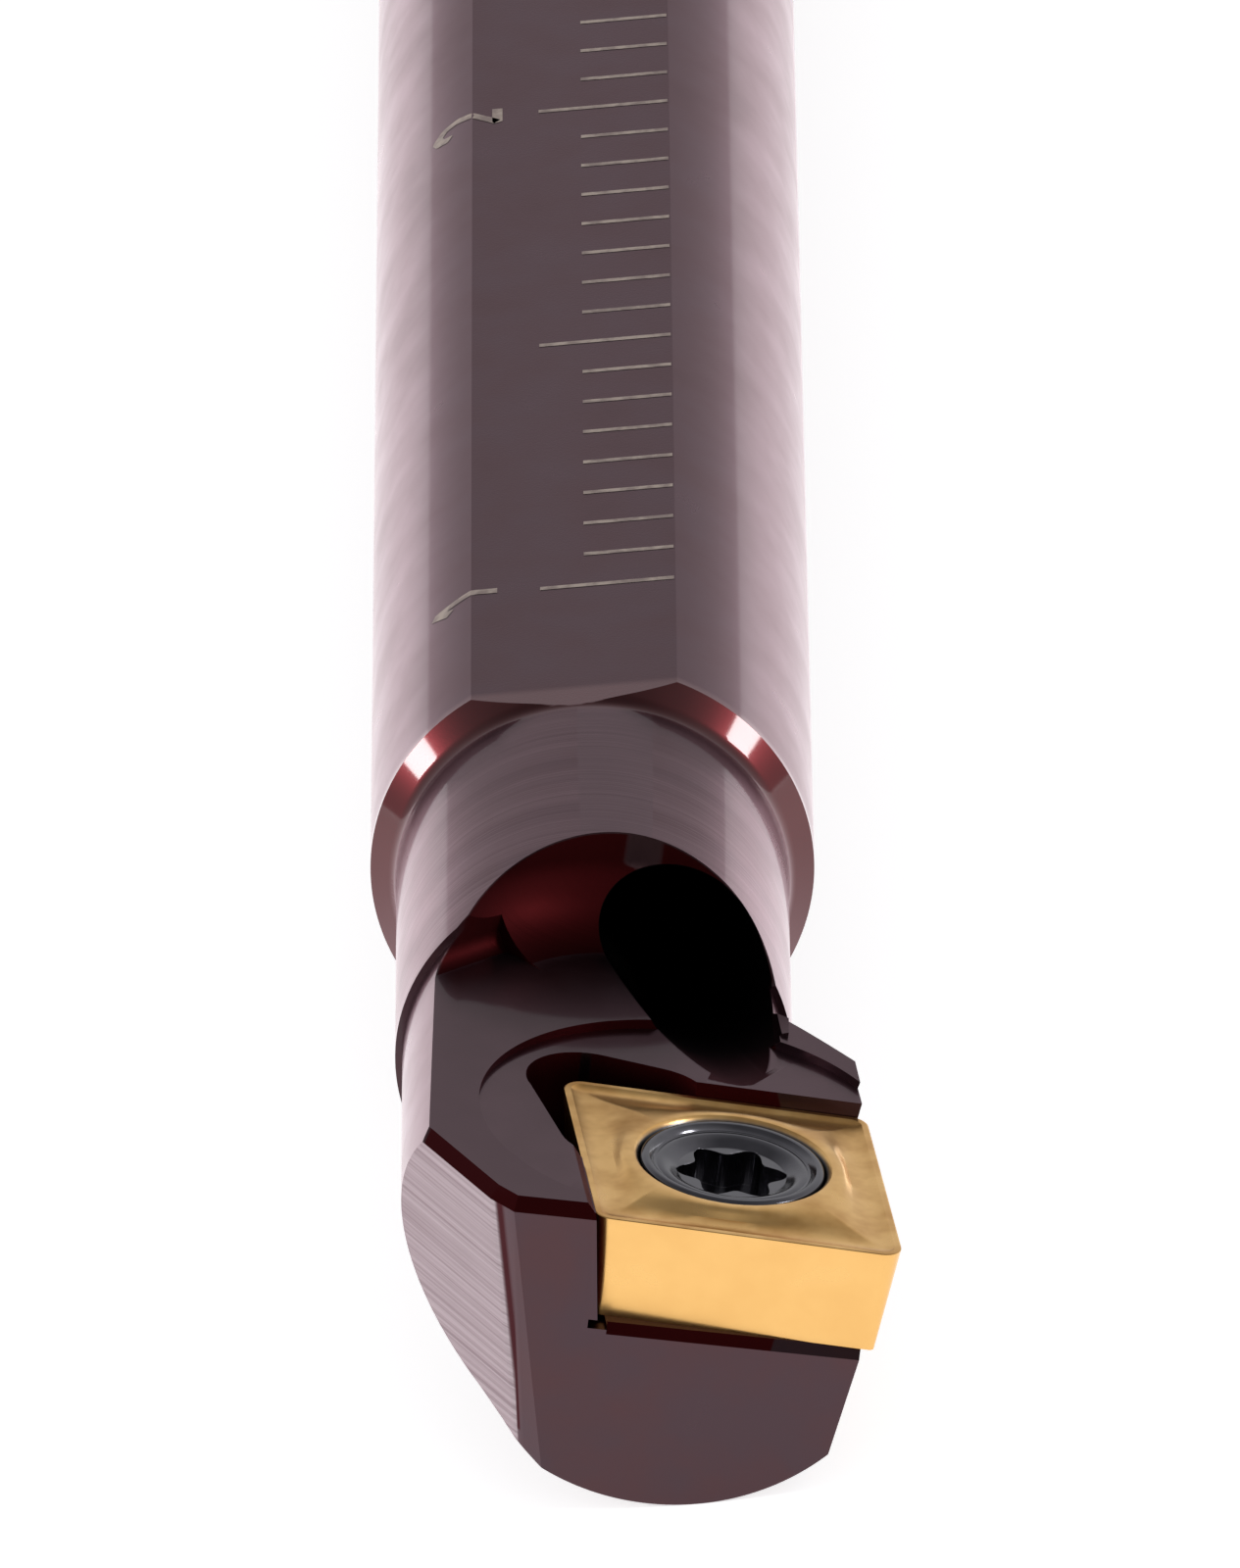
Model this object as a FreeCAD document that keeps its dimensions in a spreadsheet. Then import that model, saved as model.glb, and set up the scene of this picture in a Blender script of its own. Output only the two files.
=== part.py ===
import FreeCAD, Part
import math
import os
import Sketcher

# A right-hand boring bar for small bores: a round shank with one flat, a
# slimmer neck, and a head that carries an 80 degree rhombic insert held by one
# countersunk screw. Millimetres. X points to the cutting side, Y runs from the
# cutting corner to the rear end, Z is up. The pieces are drawn with the
# cutting corner at Y = 0 and then moved so that the frame's origin is on the
# shank's axis, where its full diameter ends at the rear chamfer.

SIZES = {
    # Turned blank
    "shank_diameter": 9.525,
    "overall_length": 152.4,
    "flat_height": 4.216,
    "neck_diameter": 8.4,
    "shoulder_place": 20.07,
    "shoulder_fillet": 0.6,
    "neck_front": 10.75,
    "head_diameter": 8.1,
    "front_face": 0.2,
    "rear_chamfer": 0.8,
    # Eccentric lobe of the head, under the insert
    "lobe_radius": 4.91,
    "lobe_across": 1.63,
    "lobe_down": 0.5,
    "lobe_end": 7.03,
    "lobe_slope": 53.5,
    "web_end": 6.3,
    "web_inset": 0.02,
    # Place of the insert's sharp cutting corner, and its two angles
    "corner_reach": 6.444,
    "radial_rake": 12,
    "front_lead": 3.67,
    # Insert
    "insert_circle": 6.35,
    "insert_thickness": 2.38,
    "insert_relief": 7,
    "nose_radius": 0.4,
    "insert_hole": 2.8,
    "hole_countersink": 4.14,
    "countersink_depth": 0.8,
    "breaker_land": 0.14,
    "breaker_depth": 0.13,
    "breaker_slope": 55,
    "island_diameter": 5.0,
    "island_rise": 0.18,
    "island_slope": 40,
    # Clamp screw
    "screw_head": 3.4,
    "screw_head_drop": 0.1,
    "screw_diameter": 2.44,
    "screw_length": 5.6,
    "screw_clearance": 0.02,
    "screw_tip_chamfer": 0.3,
    "socket_radius": 1.18,
    "socket_waist": 0.85,
    "socket_depth": 0.9,
    "tapped_hole": 2.5,
    # Chip gullet, milled from above
    "gullet_rise": 0.3,
    "gullet_tilt": 1.5,
    "gullet_pivot": 1.0,
    "gullet_left": 5.67,
    "gullet_back": 8.9,
    "gullet_radius": 4.3,
    "gullet_corner": 1.6,
    "ramp_left": 2.4,
    "ramp_back": 11.5,
    "spot_radius": 4.4,
    "spot_left": 4.54,
    "spot_back": 4.7,
    # Insert seat
    "seat_gap": 0.02,
    "seat_lip": 0.16,
    "seat_bevel": 0.2,
    "undercut_width": 0.4,
    "undercut_height": 0.2,
    "relief_radius": 1.3,
    "relief_depth": 0.1,
    "relief_left": 0.44,
    "relief_front": 0.62,
    "relief_back_run": 1.32,
    "relief_back_turn": 11.6,
    "relief_side_run": 2.45,
    "relief_side_turn": 9.9,
    # Outside of the head
    "side_back": 0.17,
    "side_relief": 9.5,
    "strip_left": 1.53,
    "strip_width": 0.69,
    "facet_angle": 58,
    "front_bevel": 0.26,
    # Coolant passages
    "coolant_bore": 4.0,
    "coolant_bore_front": 21.0,
    "rear_countersink": 0.5,
    "jet_diameter": 3.2,
    "jet_across": 2.95,
    "jet_place": 9.0,
    "jet_up": 2.24,
    "jet_yaw": 17,
    "jet_dip": 8.2,
    "jet_length": 13.5,
}

# Cutters reach this far past the material that they clear.
PAST = 3

# Points of an edge lie this close to the plane that they are on.
CLOSE = 0.001

document = FreeCAD.newDocument("boring_bar")
sheet = document.addObject("Spreadsheet::Sheet", "sizes")
for row, (name, number) in enumerate(SIZES.items(), start=1):
    sheet.set(f"A{row}", name)
    sheet.set(f"B{row}", str(number))
    sheet.setAlias(f"B{row}", name)
document.recompute()


def cell(name):
    """An expression that reads one cell of the sheet."""
    return f"sizes.{name}"


def number_of(expression):
    """The present value of an expression."""
    result = sheet.evalExpression(str(expression))
    return float(getattr(result, "Value", result))


def origin_plane(body, role):
    """One of the three origin planes of a body."""
    return next(item for item in body.Origin.OriginFeatures if item.Role == role)


def bind_offset(item, at=None, turn=None):
    """Bind an attachment offset: at = expressions for x, y, z; turn = (axis, angle)."""
    rotation = FreeCAD.Rotation()
    if turn:
        rotation = FreeCAD.Rotation(FreeCAD.Vector(*turn[0]), number_of(turn[1]))
    start = [number_of(part) for part in (at or (0, 0, 0))]
    item.AttachmentOffset = FreeCAD.Placement(FreeCAD.Vector(*start), rotation)
    for letter, expression in zip("xyz", at or ()):
        if str(expression) != "0":
            item.setExpression(f"AttachmentOffset.Base.{letter}", str(expression))
    if turn:
        item.setExpression("AttachmentOffset.Rotation.Angle", str(turn[1]))


def datum(body, name, support, at=None, turn=None):
    """A datum plane on another plane, moved by at and turned by turn."""
    plane = body.newObject("PartDesign::Plane", name)
    plane.AttachmentSupport = [(support, "")]
    plane.MapMode = "FlatFace"
    bind_offset(plane, at, turn)
    document.recompute()
    return plane


def sketch_on(body, name, support, at=None, turn=None, mode="FlatFace"):
    """An empty sketch on a plane; mode ObjectXZ stands it on the plane's X and Z."""
    sketch = body.newObject("Sketcher::SketchObject", name)
    sketch.AttachmentSupport = [(support, "")]
    sketch.MapMode = mode
    bind_offset(sketch, at, turn)
    return sketch


def hold_point(sketch, piece, end, x, y):
    """Hold one point of a sketch at the coordinates that two expressions give."""
    for kind, axis, expression in (("DistanceX", -2, x), ("DistanceY", -1, y)):
        if str(expression) == "0":
            sketch.addConstraint(Sketcher.Constraint("PointOnObject", piece, end, axis))
            continue
        value = number_of(expression)
        index = sketch.addConstraint(Sketcher.Constraint(kind, -1, 1, piece, end, value))
        sketch.setExpression(f"Constraints[{index}]", str(expression))


def add_arc(sketch, start, finish, radius, turn):
    """An arc under half a circle; turn is 1 for counterclockwise and -1 for clockwise."""
    reach = number_of(radius)
    chord = finish - start
    side = FreeCAD.Vector(-chord.y, chord.x, 0).normalize() * turn
    rise = math.sqrt(reach ** 2 - (chord.Length / 2) ** 2)
    centre = (start + finish) / 2 + side * rise
    first, last = (start, finish) if turn > 0 else (finish, start)
    angles = [math.atan2((end - centre).y, (end - centre).x) for end in (first, last)]
    circle = Part.Circle(centre, FreeCAD.Vector(0, 0, 1), reach)
    piece = sketch.addGeometry(Part.ArcOfCircle(circle, angles[0], angles[1]))
    index = sketch.addConstraint(Sketcher.Constraint("Radius", piece, reach))
    sketch.setExpression(f"Constraints[{index}]", str(radius))
    return (piece, 1, 2) if turn > 0 else (piece, 2, 1)


def draw_outline(sketch, steps):
    """Draw a closed outline. A step is (x, y) for a line to that point, or
    (x, y, radius, turn) for an arc to it."""
    points = [FreeCAD.Vector(number_of(step[0]), number_of(step[1]), 0) for step in steps]
    pieces = []
    for place, step in enumerate(steps):
        start, finish = points[place - 1], points[place]
        if len(step) == 2:
            line = sketch.addGeometry(Part.LineSegment(start, finish))
            pieces.append((line, 1, 2))
        else:
            pieces.append(add_arc(sketch, start, finish, step[2], step[3]))
    for place, (piece, first, last) in enumerate(pieces):
        before = pieces[place - 1]
        sketch.addConstraint(
            Sketcher.Constraint("Coincident", before[0], before[2], piece, first))
    for (piece, first, last), step in zip(pieces, steps):
        hold_point(sketch, piece, last, step[0], step[1])


def draw_circle(sketch, x, y, diameter):
    """Draw a circle with its centre and diameter held by expressions."""
    centre = FreeCAD.Vector(number_of(x), number_of(y), 0)
    radius = number_of(diameter) / 2
    piece = sketch.addGeometry(Part.Circle(centre, FreeCAD.Vector(0, 0, 1), radius))
    index = sketch.addConstraint(Sketcher.Constraint("Diameter", piece, radius * 2))
    sketch.setExpression(f"Constraints[{index}]", str(diameter))
    hold_point(sketch, piece, 3, x, y)


def add_feature(body, kind, name, sketch, **settings):
    """Add a feature of a sketch and see that it adds or clears material."""
    before = body.Shape.Volume if body.Tip else 0
    feature = body.newObject(f"PartDesign::{kind}", name)
    feature.Profile = sketch
    for setting, value in settings.items():
        if isinstance(value, str):
            feature.setExpression(setting, value)
        else:
            setattr(feature, setting, value)
    document.recompute()
    grows = kind in ("Pad", "Revolution")
    if (feature.Shape.Volume > before) != grows:
        raise RuntimeError(f"{name} changes no material")
    return feature


def pad(body, name, sketch, length, forward=True, **more):
    """Pad a sketch along its normal, or against it."""
    return add_feature(body, "Pad", name, sketch, Length=length, Reversed=not forward, **more)


def pocket(body, name, sketch, length, forward=True, **more):
    """Clear material along a sketch's normal, or against it."""
    return add_feature(body, "Pocket", name, sketch, Length=length, Reversed=forward, **more)


def turned(body, kind, name, sketch, axis="V_Axis"):
    """A full Revolution or Groove about an axis of the sketch."""
    return add_feature(body, kind, name, sketch, ReferenceAxis=(sketch, [axis]), Angle=360)


def bevel(body, name, width, planes):
    """Bevel the edges that lie in the first plane and in any of the others."""
    names = []
    base = body.Tip
    for place, edge in enumerate(base.Shape.Edges, start=1):
        points = edge.discretize(4)
        on_plane = [all(abs(away(plane, point)) < CLOSE for point in points) for plane in planes]
        if on_plane[0] and any(on_plane[1:]):
            names.append(f"Edge{place}")
    chamfer = body.newObject("PartDesign::Chamfer", name)
    chamfer.Base = (base, names)
    chamfer.setExpression("Size", width)
    document.recompute()
    return chamfer


def away(plane, point):
    """Distance of a point from a plane, given as a placement with Z as its normal."""
    return plane.inverse().multVec(point).z


def upright(x, y, heading):
    """The placement of a vertical plane through (x, y) that runs along a heading."""
    turn = FreeCAD.Rotation(FreeCAD.Vector(0, 0, 1), heading)
    stand = FreeCAD.Rotation(FreeCAD.Vector(1, 0, 0), 90)
    return FreeCAD.Placement(FreeCAD.Vector(x, y, 0), turn * stand)


def insert_planes(body):
    """The plane of the insert's top, and the same plane turned to the side edge."""
    rake = datum(body, body.Name + "_rake", origin_plane(body, "XY_Plane"),
                 at=(cell("corner_reach"), 0, 0), turn=((0, 1, 0), cell("radial_rake")))
    top = datum(body, body.Name + "_top", rake,
                turn=((0, 0, 1), f"10 - {cell('front_lead')}"))
    return rake, top


# In the plane of the insert's top the sharp cutting corner is the origin, the
# side edge runs along +Y and the front edge leaves the corner at 80 degrees.
INSERT_CENTRE = (
    f"-{cell('insert_circle')} / 2",
    f"{cell('insert_circle')} * (1 + sin(10)) / (2 * cos(10))",
)


def rhombus(inset):
    """Corners of the insert's outline moved inward: cutting, rear, far, front."""
    right = f"-({inset})"
    left = f"{inset} - {cell('insert_circle')}"
    front = f"({inset}) / cos(10)"
    back = f"({cell('insert_circle')} - ({inset})) / cos(10)"
    return [(x, f"{y} - ({x}) * tan(10)")
            for x, y in ((right, front), (right, back), (left, back), (left, front))]


def rounded_rhombus(sketch, inset, radius):
    """The rhombus with its 80 degree and 100 degree corners rounded."""
    # From each corner: the headings to its neighbours, and half the angle between.
    ways = [(170, 90, 40), (270, 170, 50), (350, 270, 40), (90, 350, 50)]
    steps = []
    for (x, y), (before, after, half) in zip(rhombus(inset), ways):
        run = f"({radius}) / tan({half})"
        steps.append((f"{x} + {run} * cos({before})", f"{y} + {run} * sin({before})"))
        steps.append((f"{x} + {run} * cos({after})", f"{y} + {run} * sin({after})", radius, 1))
    draw_outline(sketch, steps)


def make_blank(bar):
    """The turned blank, with the eccentric lobe of the head and the web beside it."""
    level = origin_plane(bar, "XY_Plane")
    across = origin_plane(bar, "XZ_Plane")
    along = origin_plane(bar, "YZ_Plane")
    shank = f"{cell('shank_diameter')} / 2"
    neck = f"{cell('neck_diameter')} / 2"
    head = f"{cell('head_diameter')} / 2"

    # The shoulder is a 45 degree cone with a rounded foot.
    foot = f"{cell('shoulder_place')} - ({shank} - {neck})"
    run = f"{cell('shoulder_fillet')} * tan(22.5)"
    profile = sketch_on(bar, "blank_profile", along)
    draw_outline(profile, [
        (cell("front_face"), head),
        (cell("front_face"), "0"),
        (cell("overall_length"), "0"),
        (cell("overall_length"), f"{shank} - {cell('rear_chamfer')}"),
        (f"{cell('overall_length')} - {cell('rear_chamfer')}", shank),
        (cell("shoulder_place"), shank),
        (f"{foot} + {run} / sqrt(2)", f"{neck} + {run} / sqrt(2)"),
        (f"{foot} - {run}", neck, cell("shoulder_fillet"), -1),
        (cell("neck_front"), neck),
        (cell("neck_front"), head),
    ])
    turned(bar, "Revolution", "turned_blank", profile, "H_Axis")

    # The lobe under the insert is turned on a second centre and ends in a cone.
    lobe = cell("lobe_radius")
    centre_x, centre_z = cell("lobe_across"), f"-{cell('lobe_down')}"
    side = sketch_on(bar, "lobe_profile", level, at=(centre_x, 0, centre_z))
    tip = f"{cell('lobe_end')} + {lobe} * 3 / 4 * tan({cell('lobe_slope')})"
    draw_outline(side, [
        ("0", cell("front_face")),
        ("0", tip),
        (f"-{lobe} / 4", tip),
        (f"-{lobe}", cell("lobe_end")),
        (f"-{lobe}", cell("front_face")),
    ])
    turned(bar, "Revolution", "lobe", side)

    # A web fills the hollow between them, just inside the tangent that they share.
    spacing = f"sqrt({cell('lobe_across')} ^ 2 + {cell('lobe_down')} ^ 2)"
    bearing = f"atan({cell('lobe_down')} / {cell('lobe_across')})"
    tangent = f"({bearing} + acos(({head} - {lobe}) / {spacing}))"
    inner, outer = f"({head} - {cell('web_inset')})", f"({lobe} - {cell('web_inset')})"
    web = sketch_on(bar, "web_outline", across, at=(0, 0, f"-{cell('front_face')}"))
    draw_outline(web, [
        ("0", "0"),
        (f"{inner} * cos({tangent})", f"-{inner} * sin({tangent})"),
        (f"{centre_x} + {outer} * cos({tangent})", f"{centre_z} - {outer} * sin({tangent})"),
        (centre_x, centre_z),
    ])
    pad(bar, "web", web, f"{cell('web_end')} - {cell('front_face')}", forward=False)

    # The flat runs the whole length of the shank.
    flat = sketch_on(bar, "flat_outline", level, at=(0, 0, cell("flat_height")))
    side = f"({shank} + {PAST})"
    near = f"{cell('shoulder_place')} - {PAST}"
    far = f"{cell('overall_length')} + {PAST}"
    draw_outline(flat, [(f"-{side}", near), (side, near), (side, far), (f"-{side}", far)])
    pocket(bar, "shank_flat", flat, shank)


def cut_gullet(bar, rake):
    """The chip gullet: a floor, a rounded end wall and a spot face round the seat."""
    floor = datum(bar, "gullet_floor", rake, turn=((1, 0, 0), cell("gullet_tilt")),
                  at=(0, cell("gullet_pivot"), cell("gullet_rise")))
    # The end wall is the track of a cutter with a rounded corner.
    back = f"{cell('gullet_back')} - {cell('gullet_pivot')}"
    corner = cell("gullet_corner")
    radius = cell("gullet_radius")
    wall = sketch_on(bar, "gullet_wall_profile", floor, mode="ObjectYZ",
                     at=(back, 0, f"-{cell('gullet_left')}"))
    draw_outline(wall, [
        ("0", "0"),
        ("0", cell("shank_diameter")),
        (f"-{radius}", cell("shank_diameter")),
        (f"-{radius}", corner),
        (f"{corner} - {radius}", "0", corner, 1),
    ])
    turned(bar, "Groove", "gullet_wall", wall)

    # On the left the floor ends along a tangent of the wall's foot. Right of the
    # neck it runs on to the rear, down the cone of the lobe.
    left = f"-{cell('corner_reach')} - {cell('head_diameter')}"
    foot = f"({radius} - {corner}) / sqrt(2)"
    touch = (f"-{cell('gullet_left')} - {foot}", f"{back} + {foot}")
    ramp_left = f"-{cell('ramp_left')}"
    ramp_back = f"{cell('ramp_back')} - {cell('gullet_pivot')}"
    outline = sketch_on(bar, "gullet_outline", floor)
    draw_outline(outline, [
        (left, f"-{PAST}"),
        (f"{PAST}", f"-{PAST}"),
        (f"{PAST}", ramp_back),
        (ramp_left, ramp_back),
        (ramp_left, back),
        (f"-{cell('gullet_left')}", back),
        touch,
        (left, f"{touch[1]} - ({touch[0]}) + {left}"),
    ])
    pocket(bar, "gullet", outline, cell("shank_diameter"))

    # The spot face is parallel to the insert.
    spot = sketch_on(bar, "spot_face_circle", rake, at=(0, 0, cell("gullet_rise")))
    draw_circle(spot, f"-{cell('spot_left')}", cell("spot_back"), f"{cell('spot_radius')} * 2")
    pocket(bar, "spot_face", spot, cell("neck_diameter"))
    return floor


def cut_flank(bar, top):
    """The flank leans in below the insert's side edge and runs along it."""
    slope = f"tan({cell('side_relief')})"
    depth = f"({cell('lobe_radius')} * 2)"
    near = f"-{cell('side_back')}"
    flank = sketch_on(bar, "flank_profile", top, mode="ObjectXZ", at=(0, 0, f"{PAST}"))
    draw_outline(flank, [
        (f"{near} - {depth} * {slope}", f"-{depth}"),
        (f"{PAST}", f"-{depth}"),
        (f"{PAST}", f"{PAST}"),
        (f"{near} + {PAST} * {slope}", f"{PAST}"),
    ])
    length = f"{cell('lobe_end')} + {cell('lobe_radius')} + {PAST}"
    pocket(bar, "side_flank", flank, length, forward=False)


def cut_facet(bar, floor):
    """The facet across the left corner, and the bevel round the front of the floor."""
    # A narrow 45 degree strip leads from the front face to the facet.
    start = (f"-{cell('strip_left')}", cell("front_face"))
    step = f"{cell('strip_width')} / sqrt(2)"
    bend = (f"{start[0]} - {step}", f"{start[1]} + {step}")
    edge = f"-{cell('head_diameter')}"
    facet_run = f"({bend[0]} - ({edge})) * tan({cell('facet_angle')})"
    facet = sketch_on(bar, "facet_outline", origin_plane(bar, "XY_Plane"))
    draw_outline(facet, [
        start,
        bend,
        (edge, f"{bend[1]} + {facet_run}"),
        (edge, f"-{PAST}"),
        (start[0], f"-{PAST}"),
    ])
    pocket(bar, "facet", facet, f"{cell('shank_diameter')} * 2", Midplane=True)

    start_x, start_y = number_of(start[0]), number_of(start[1])
    bend_x, bend_y = number_of(bend[0]), number_of(bend[1])
    facet_heading = 180 - number_of(cell("facet_angle"))
    bevel(bar, "front_bevel", cell("front_bevel"), [
        floor.Placement,
        upright(start_x, start_y, 0),
        upright(start_x, start_y, 135),
        upright(bend_x, bend_y, facet_heading),
    ])


def cut_seat(bar, rake, top):
    """The insert's seat, with two tapered walls, relief at its inner corner and a tapped hole."""
    circle = cell("insert_circle")
    thickness = cell("insert_thickness")
    lean = f"tan({cell('insert_relief')})"
    rise = cell("gullet_rise")
    start = f"({rise} * 2)"
    out = f"({cell('seat_gap')} + {start} * {lean})"
    wall = f"-{circle} - {out}"
    rear = f"({circle} + {out}) / cos(10)"

    # The walls lean outward like the insert's flanks, so the cut starts above its top.
    outline = sketch_on(bar, "seat_outline", top, at=(0, 0, start))
    draw_outline(outline, [
        (wall, f"-{PAST}"),
        (f"{PAST}", f"-{PAST}"),
        (f"{PAST}", f"{rear} - {PAST} * tan(10)"),
        (wall, f"{rear} - ({wall}) * tan(10)"),
    ])
    pocket(bar, "seat", outline, f"{thickness} + {start}", forward=False,
           TaperAngle=f"-{cell('insert_relief')}")

    # A cutter clears the inner corner and runs a little way along each wall.
    corner_x = f"-{circle} + {cell('relief_left')}"
    corner_y = f"{circle} * (1 + sin(10)) / cos(10) - {cell('relief_front')}"
    depth = f"{thickness} + {start} + {cell('relief_depth')}"
    runs = (
        ("relief_along_rear", f"-10 - {cell('relief_back_turn')}", cell("relief_back_run")),
        ("relief_along_side", f"-90 + {cell('relief_side_turn')}", cell("relief_side_run")),
    )
    for name, heading, run in runs:
        slot = sketch_on(bar, name + "_outline", top, at=(corner_x, corner_y, start),
                         turn=((0, 0, 1), f"{heading} + 360"))
        slot_outline(slot, run, cell("relief_radius"))
        pocket(bar, name, slot, depth, forward=False)

    # A small slot clears the foot of the side wall, and its top edge is eased.
    foot = f"-{circle} - {cell('seat_gap')} + {thickness} * {lean}"
    half = f"{cell('undercut_width')} / 2"
    tall = f"{cell('undercut_height')} / 2"
    slot_end = f"{corner_y} + {PAST}"
    undercut = sketch_on(bar, "undercut_profile", top, mode="ObjectXZ", at=(0, 0, f"{PAST}"))
    draw_outline(undercut, [
        (f"{foot} - {half}", f"-{thickness} - {tall}"),
        (f"{foot} + {half}", f"-{thickness} - {tall}"),
        (f"{foot} + {half}", f"-{thickness} + {tall}"),
        (f"{foot} - {half}", f"-{thickness} + {tall}"),
    ])
    pocket(bar, "undercut", undercut, slot_end, forward=False)

    lip = cell("seat_lip")
    edge = f"-{circle} - {cell('seat_gap')} - {rise} * {lean}"
    easing = sketch_on(bar, "seat_lip_profile", top, mode="ObjectXZ", at=(0, 0, f"{PAST}"))
    draw_outline(easing, [
        (edge, f"{rise} - {lip}"),
        (f"{edge} + {PAST}", f"{rise} - {lip}"),
        (f"{edge} + {PAST}", f"{rise} + {PAST}"),
        (f"{edge} - {lip} - {PAST}", f"{rise} + {PAST}"),
    ])
    pocket(bar, "seat_lip", easing, f"{corner_y} + {PAST} - {cell('relief_side_run')}",
           forward=False)

    hole = sketch_on(bar, "tapped_hole_circle", top, at=(0, 0, f"-{thickness} + {lip}"))
    draw_circle(hole, *INSERT_CENTRE, cell("tapped_hole"))
    pocket(bar, "tapped_hole", hole, cell("shank_diameter"), forward=False)

    # The front edge of the seat's floor is bevelled, from the slot to the flank.
    turn = f"(10 - {cell('front_lead')})"
    start_x = f"({foot} + {half} - {cell('front_face')} * sin({turn})) / cos({turn})"
    edge_y = f"{cell('front_face')} + {cell('seat_bevel')}"
    bevel_end = sketch_on(bar, "seat_bevel_profile", rake, mode="ObjectYZ", at=(0, 0, start_x))
    draw_outline(bevel_end, [
        (f"{edge_y} - {PAST}", f"-{thickness} - {PAST}"),
        (f"{edge_y} + {lip}", f"-{thickness} + {lip}"),
        (f"{edge_y} - {PAST}", f"-{thickness} + {lip}"),
    ])
    pocket(bar, "seat_bevel", bevel_end, cell("corner_reach"))


def slot_outline(sketch, run, radius):
    """A straight slot with round ends, from the sketch's origin along its X."""
    draw_outline(sketch, [
        (run, f"-({radius})"),
        (f"{run} + {radius}", "0", radius, 1),
        (run, radius, radius, 1),
        ("0", radius),
        (f"-({radius})", "0", radius, 1),
        ("0", f"-({radius})", radius, 1),
    ])


def drill_coolant(bar):
    """The bore from the rear end and the oblique jet hole that meets it."""
    bore = f"{cell('coolant_bore')} / 2"
    end = f"{cell('overall_length')}"
    sink = cell("rear_countersink")
    profile = sketch_on(bar, "coolant_bore_profile", origin_plane(bar, "XY_Plane"))
    draw_outline(profile, [
        ("0", f"{cell('coolant_bore_front')} - {bore} * tan(31)"),
        (bore, cell("coolant_bore_front")),
        (bore, f"{end} - {sink}"),
        (f"{bore} + {sink} + {PAST}", f"{end} + {PAST}"),
        ("0", f"{end} + {PAST}"),
    ])
    turned(bar, "Groove", "coolant_bore", profile)

    # The drill comes in from the front, heading down and to the left.
    heading = datum(bar, "jet_heading", origin_plane(bar, "XZ_Plane"),
                    at=(cell("jet_across"), cell("jet_up"), f"-{cell('jet_place')}"),
                    turn=((0, 1, 0), cell("jet_yaw")))
    dip = datum(bar, "jet_dip", heading, turn=((-1, 0, 0), cell("jet_dip")))
    ahead = cell("jet_place")
    jet = sketch_on(bar, "jet_circle", dip, at=(0, 0, ahead))
    draw_circle(jet, "0", "0", cell("jet_diameter"))
    pocket(bar, "coolant_jet", jet, f"{ahead} + {cell('jet_length')}", forward=False)


def make_bar():
    """Shank, neck and head in one piece."""
    bar = document.addObject("PartDesign::Body", "bar_body")
    bar.Label = "bar_body"
    rake, top = insert_planes(bar)
    make_blank(bar)
    cut_flank(bar, top)
    floor = cut_gullet(bar, rake)
    cut_facet(bar, floor)
    cut_seat(bar, rake, top)
    drill_coolant(bar)
    return bar


def make_insert():
    """The rhombic insert with relieved flanks, a chip groove and a countersunk hole."""
    insert = document.addObject("PartDesign::Body", "cutting_insert")
    insert.Label = "cutting_insert"
    top = insert_planes(insert)[1]
    outline = sketch_on(insert, "insert_outline", top)
    rounded_rhombus(outline, "0", cell("nose_radius"))
    pad(insert, "insert_blank", outline, cell("insert_thickness"), forward=False,
        TaperAngle=f"-{cell('insert_relief')}")

    # Behind a narrow land the chip groove slopes down round a flat island.
    groove = sketch_on(insert, "chip_groove_outline", top)
    land = cell("breaker_land")
    rounded_rhombus(groove, land, f"{cell('nose_radius')} - {land}")
    draw_circle(groove, *INSERT_CENTRE, cell("island_diameter"))
    pocket(insert, "chip_groove", groove, cell("breaker_depth"), forward=False,
           TaperAngle=f"-{cell('breaker_slope')}")

    # The island round the hole stands a little above the cutting edges.
    rise = cell("island_rise")
    island = sketch_on(insert, "island_circle", top)
    draw_circle(island, *INSERT_CENTRE, cell("island_diameter"))
    pad(insert, "island", island, rise, TaperAngle=f"-{cell('island_slope')}")

    hole = f"{cell('insert_hole')} / 2"
    mouth = f"{cell('hole_countersink')} / 2"
    profile = sketch_on(insert, "hole_profile", top, mode="ObjectXZ",
                        at=(INSERT_CENTRE[0], 0, f"-{INSERT_CENTRE[1]}"))
    bottom = f"-{cell('insert_thickness')} - {PAST}"
    draw_outline(profile, [
        ("0", bottom),
        (hole, bottom),
        (hole, f"-{cell('countersink_depth')}"),
        (mouth, rise),
        (mouth, f"{PAST}"),
        ("0", f"{PAST}"),
    ])
    turned(insert, "Groove", "insert_hole", profile)
    return insert


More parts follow.
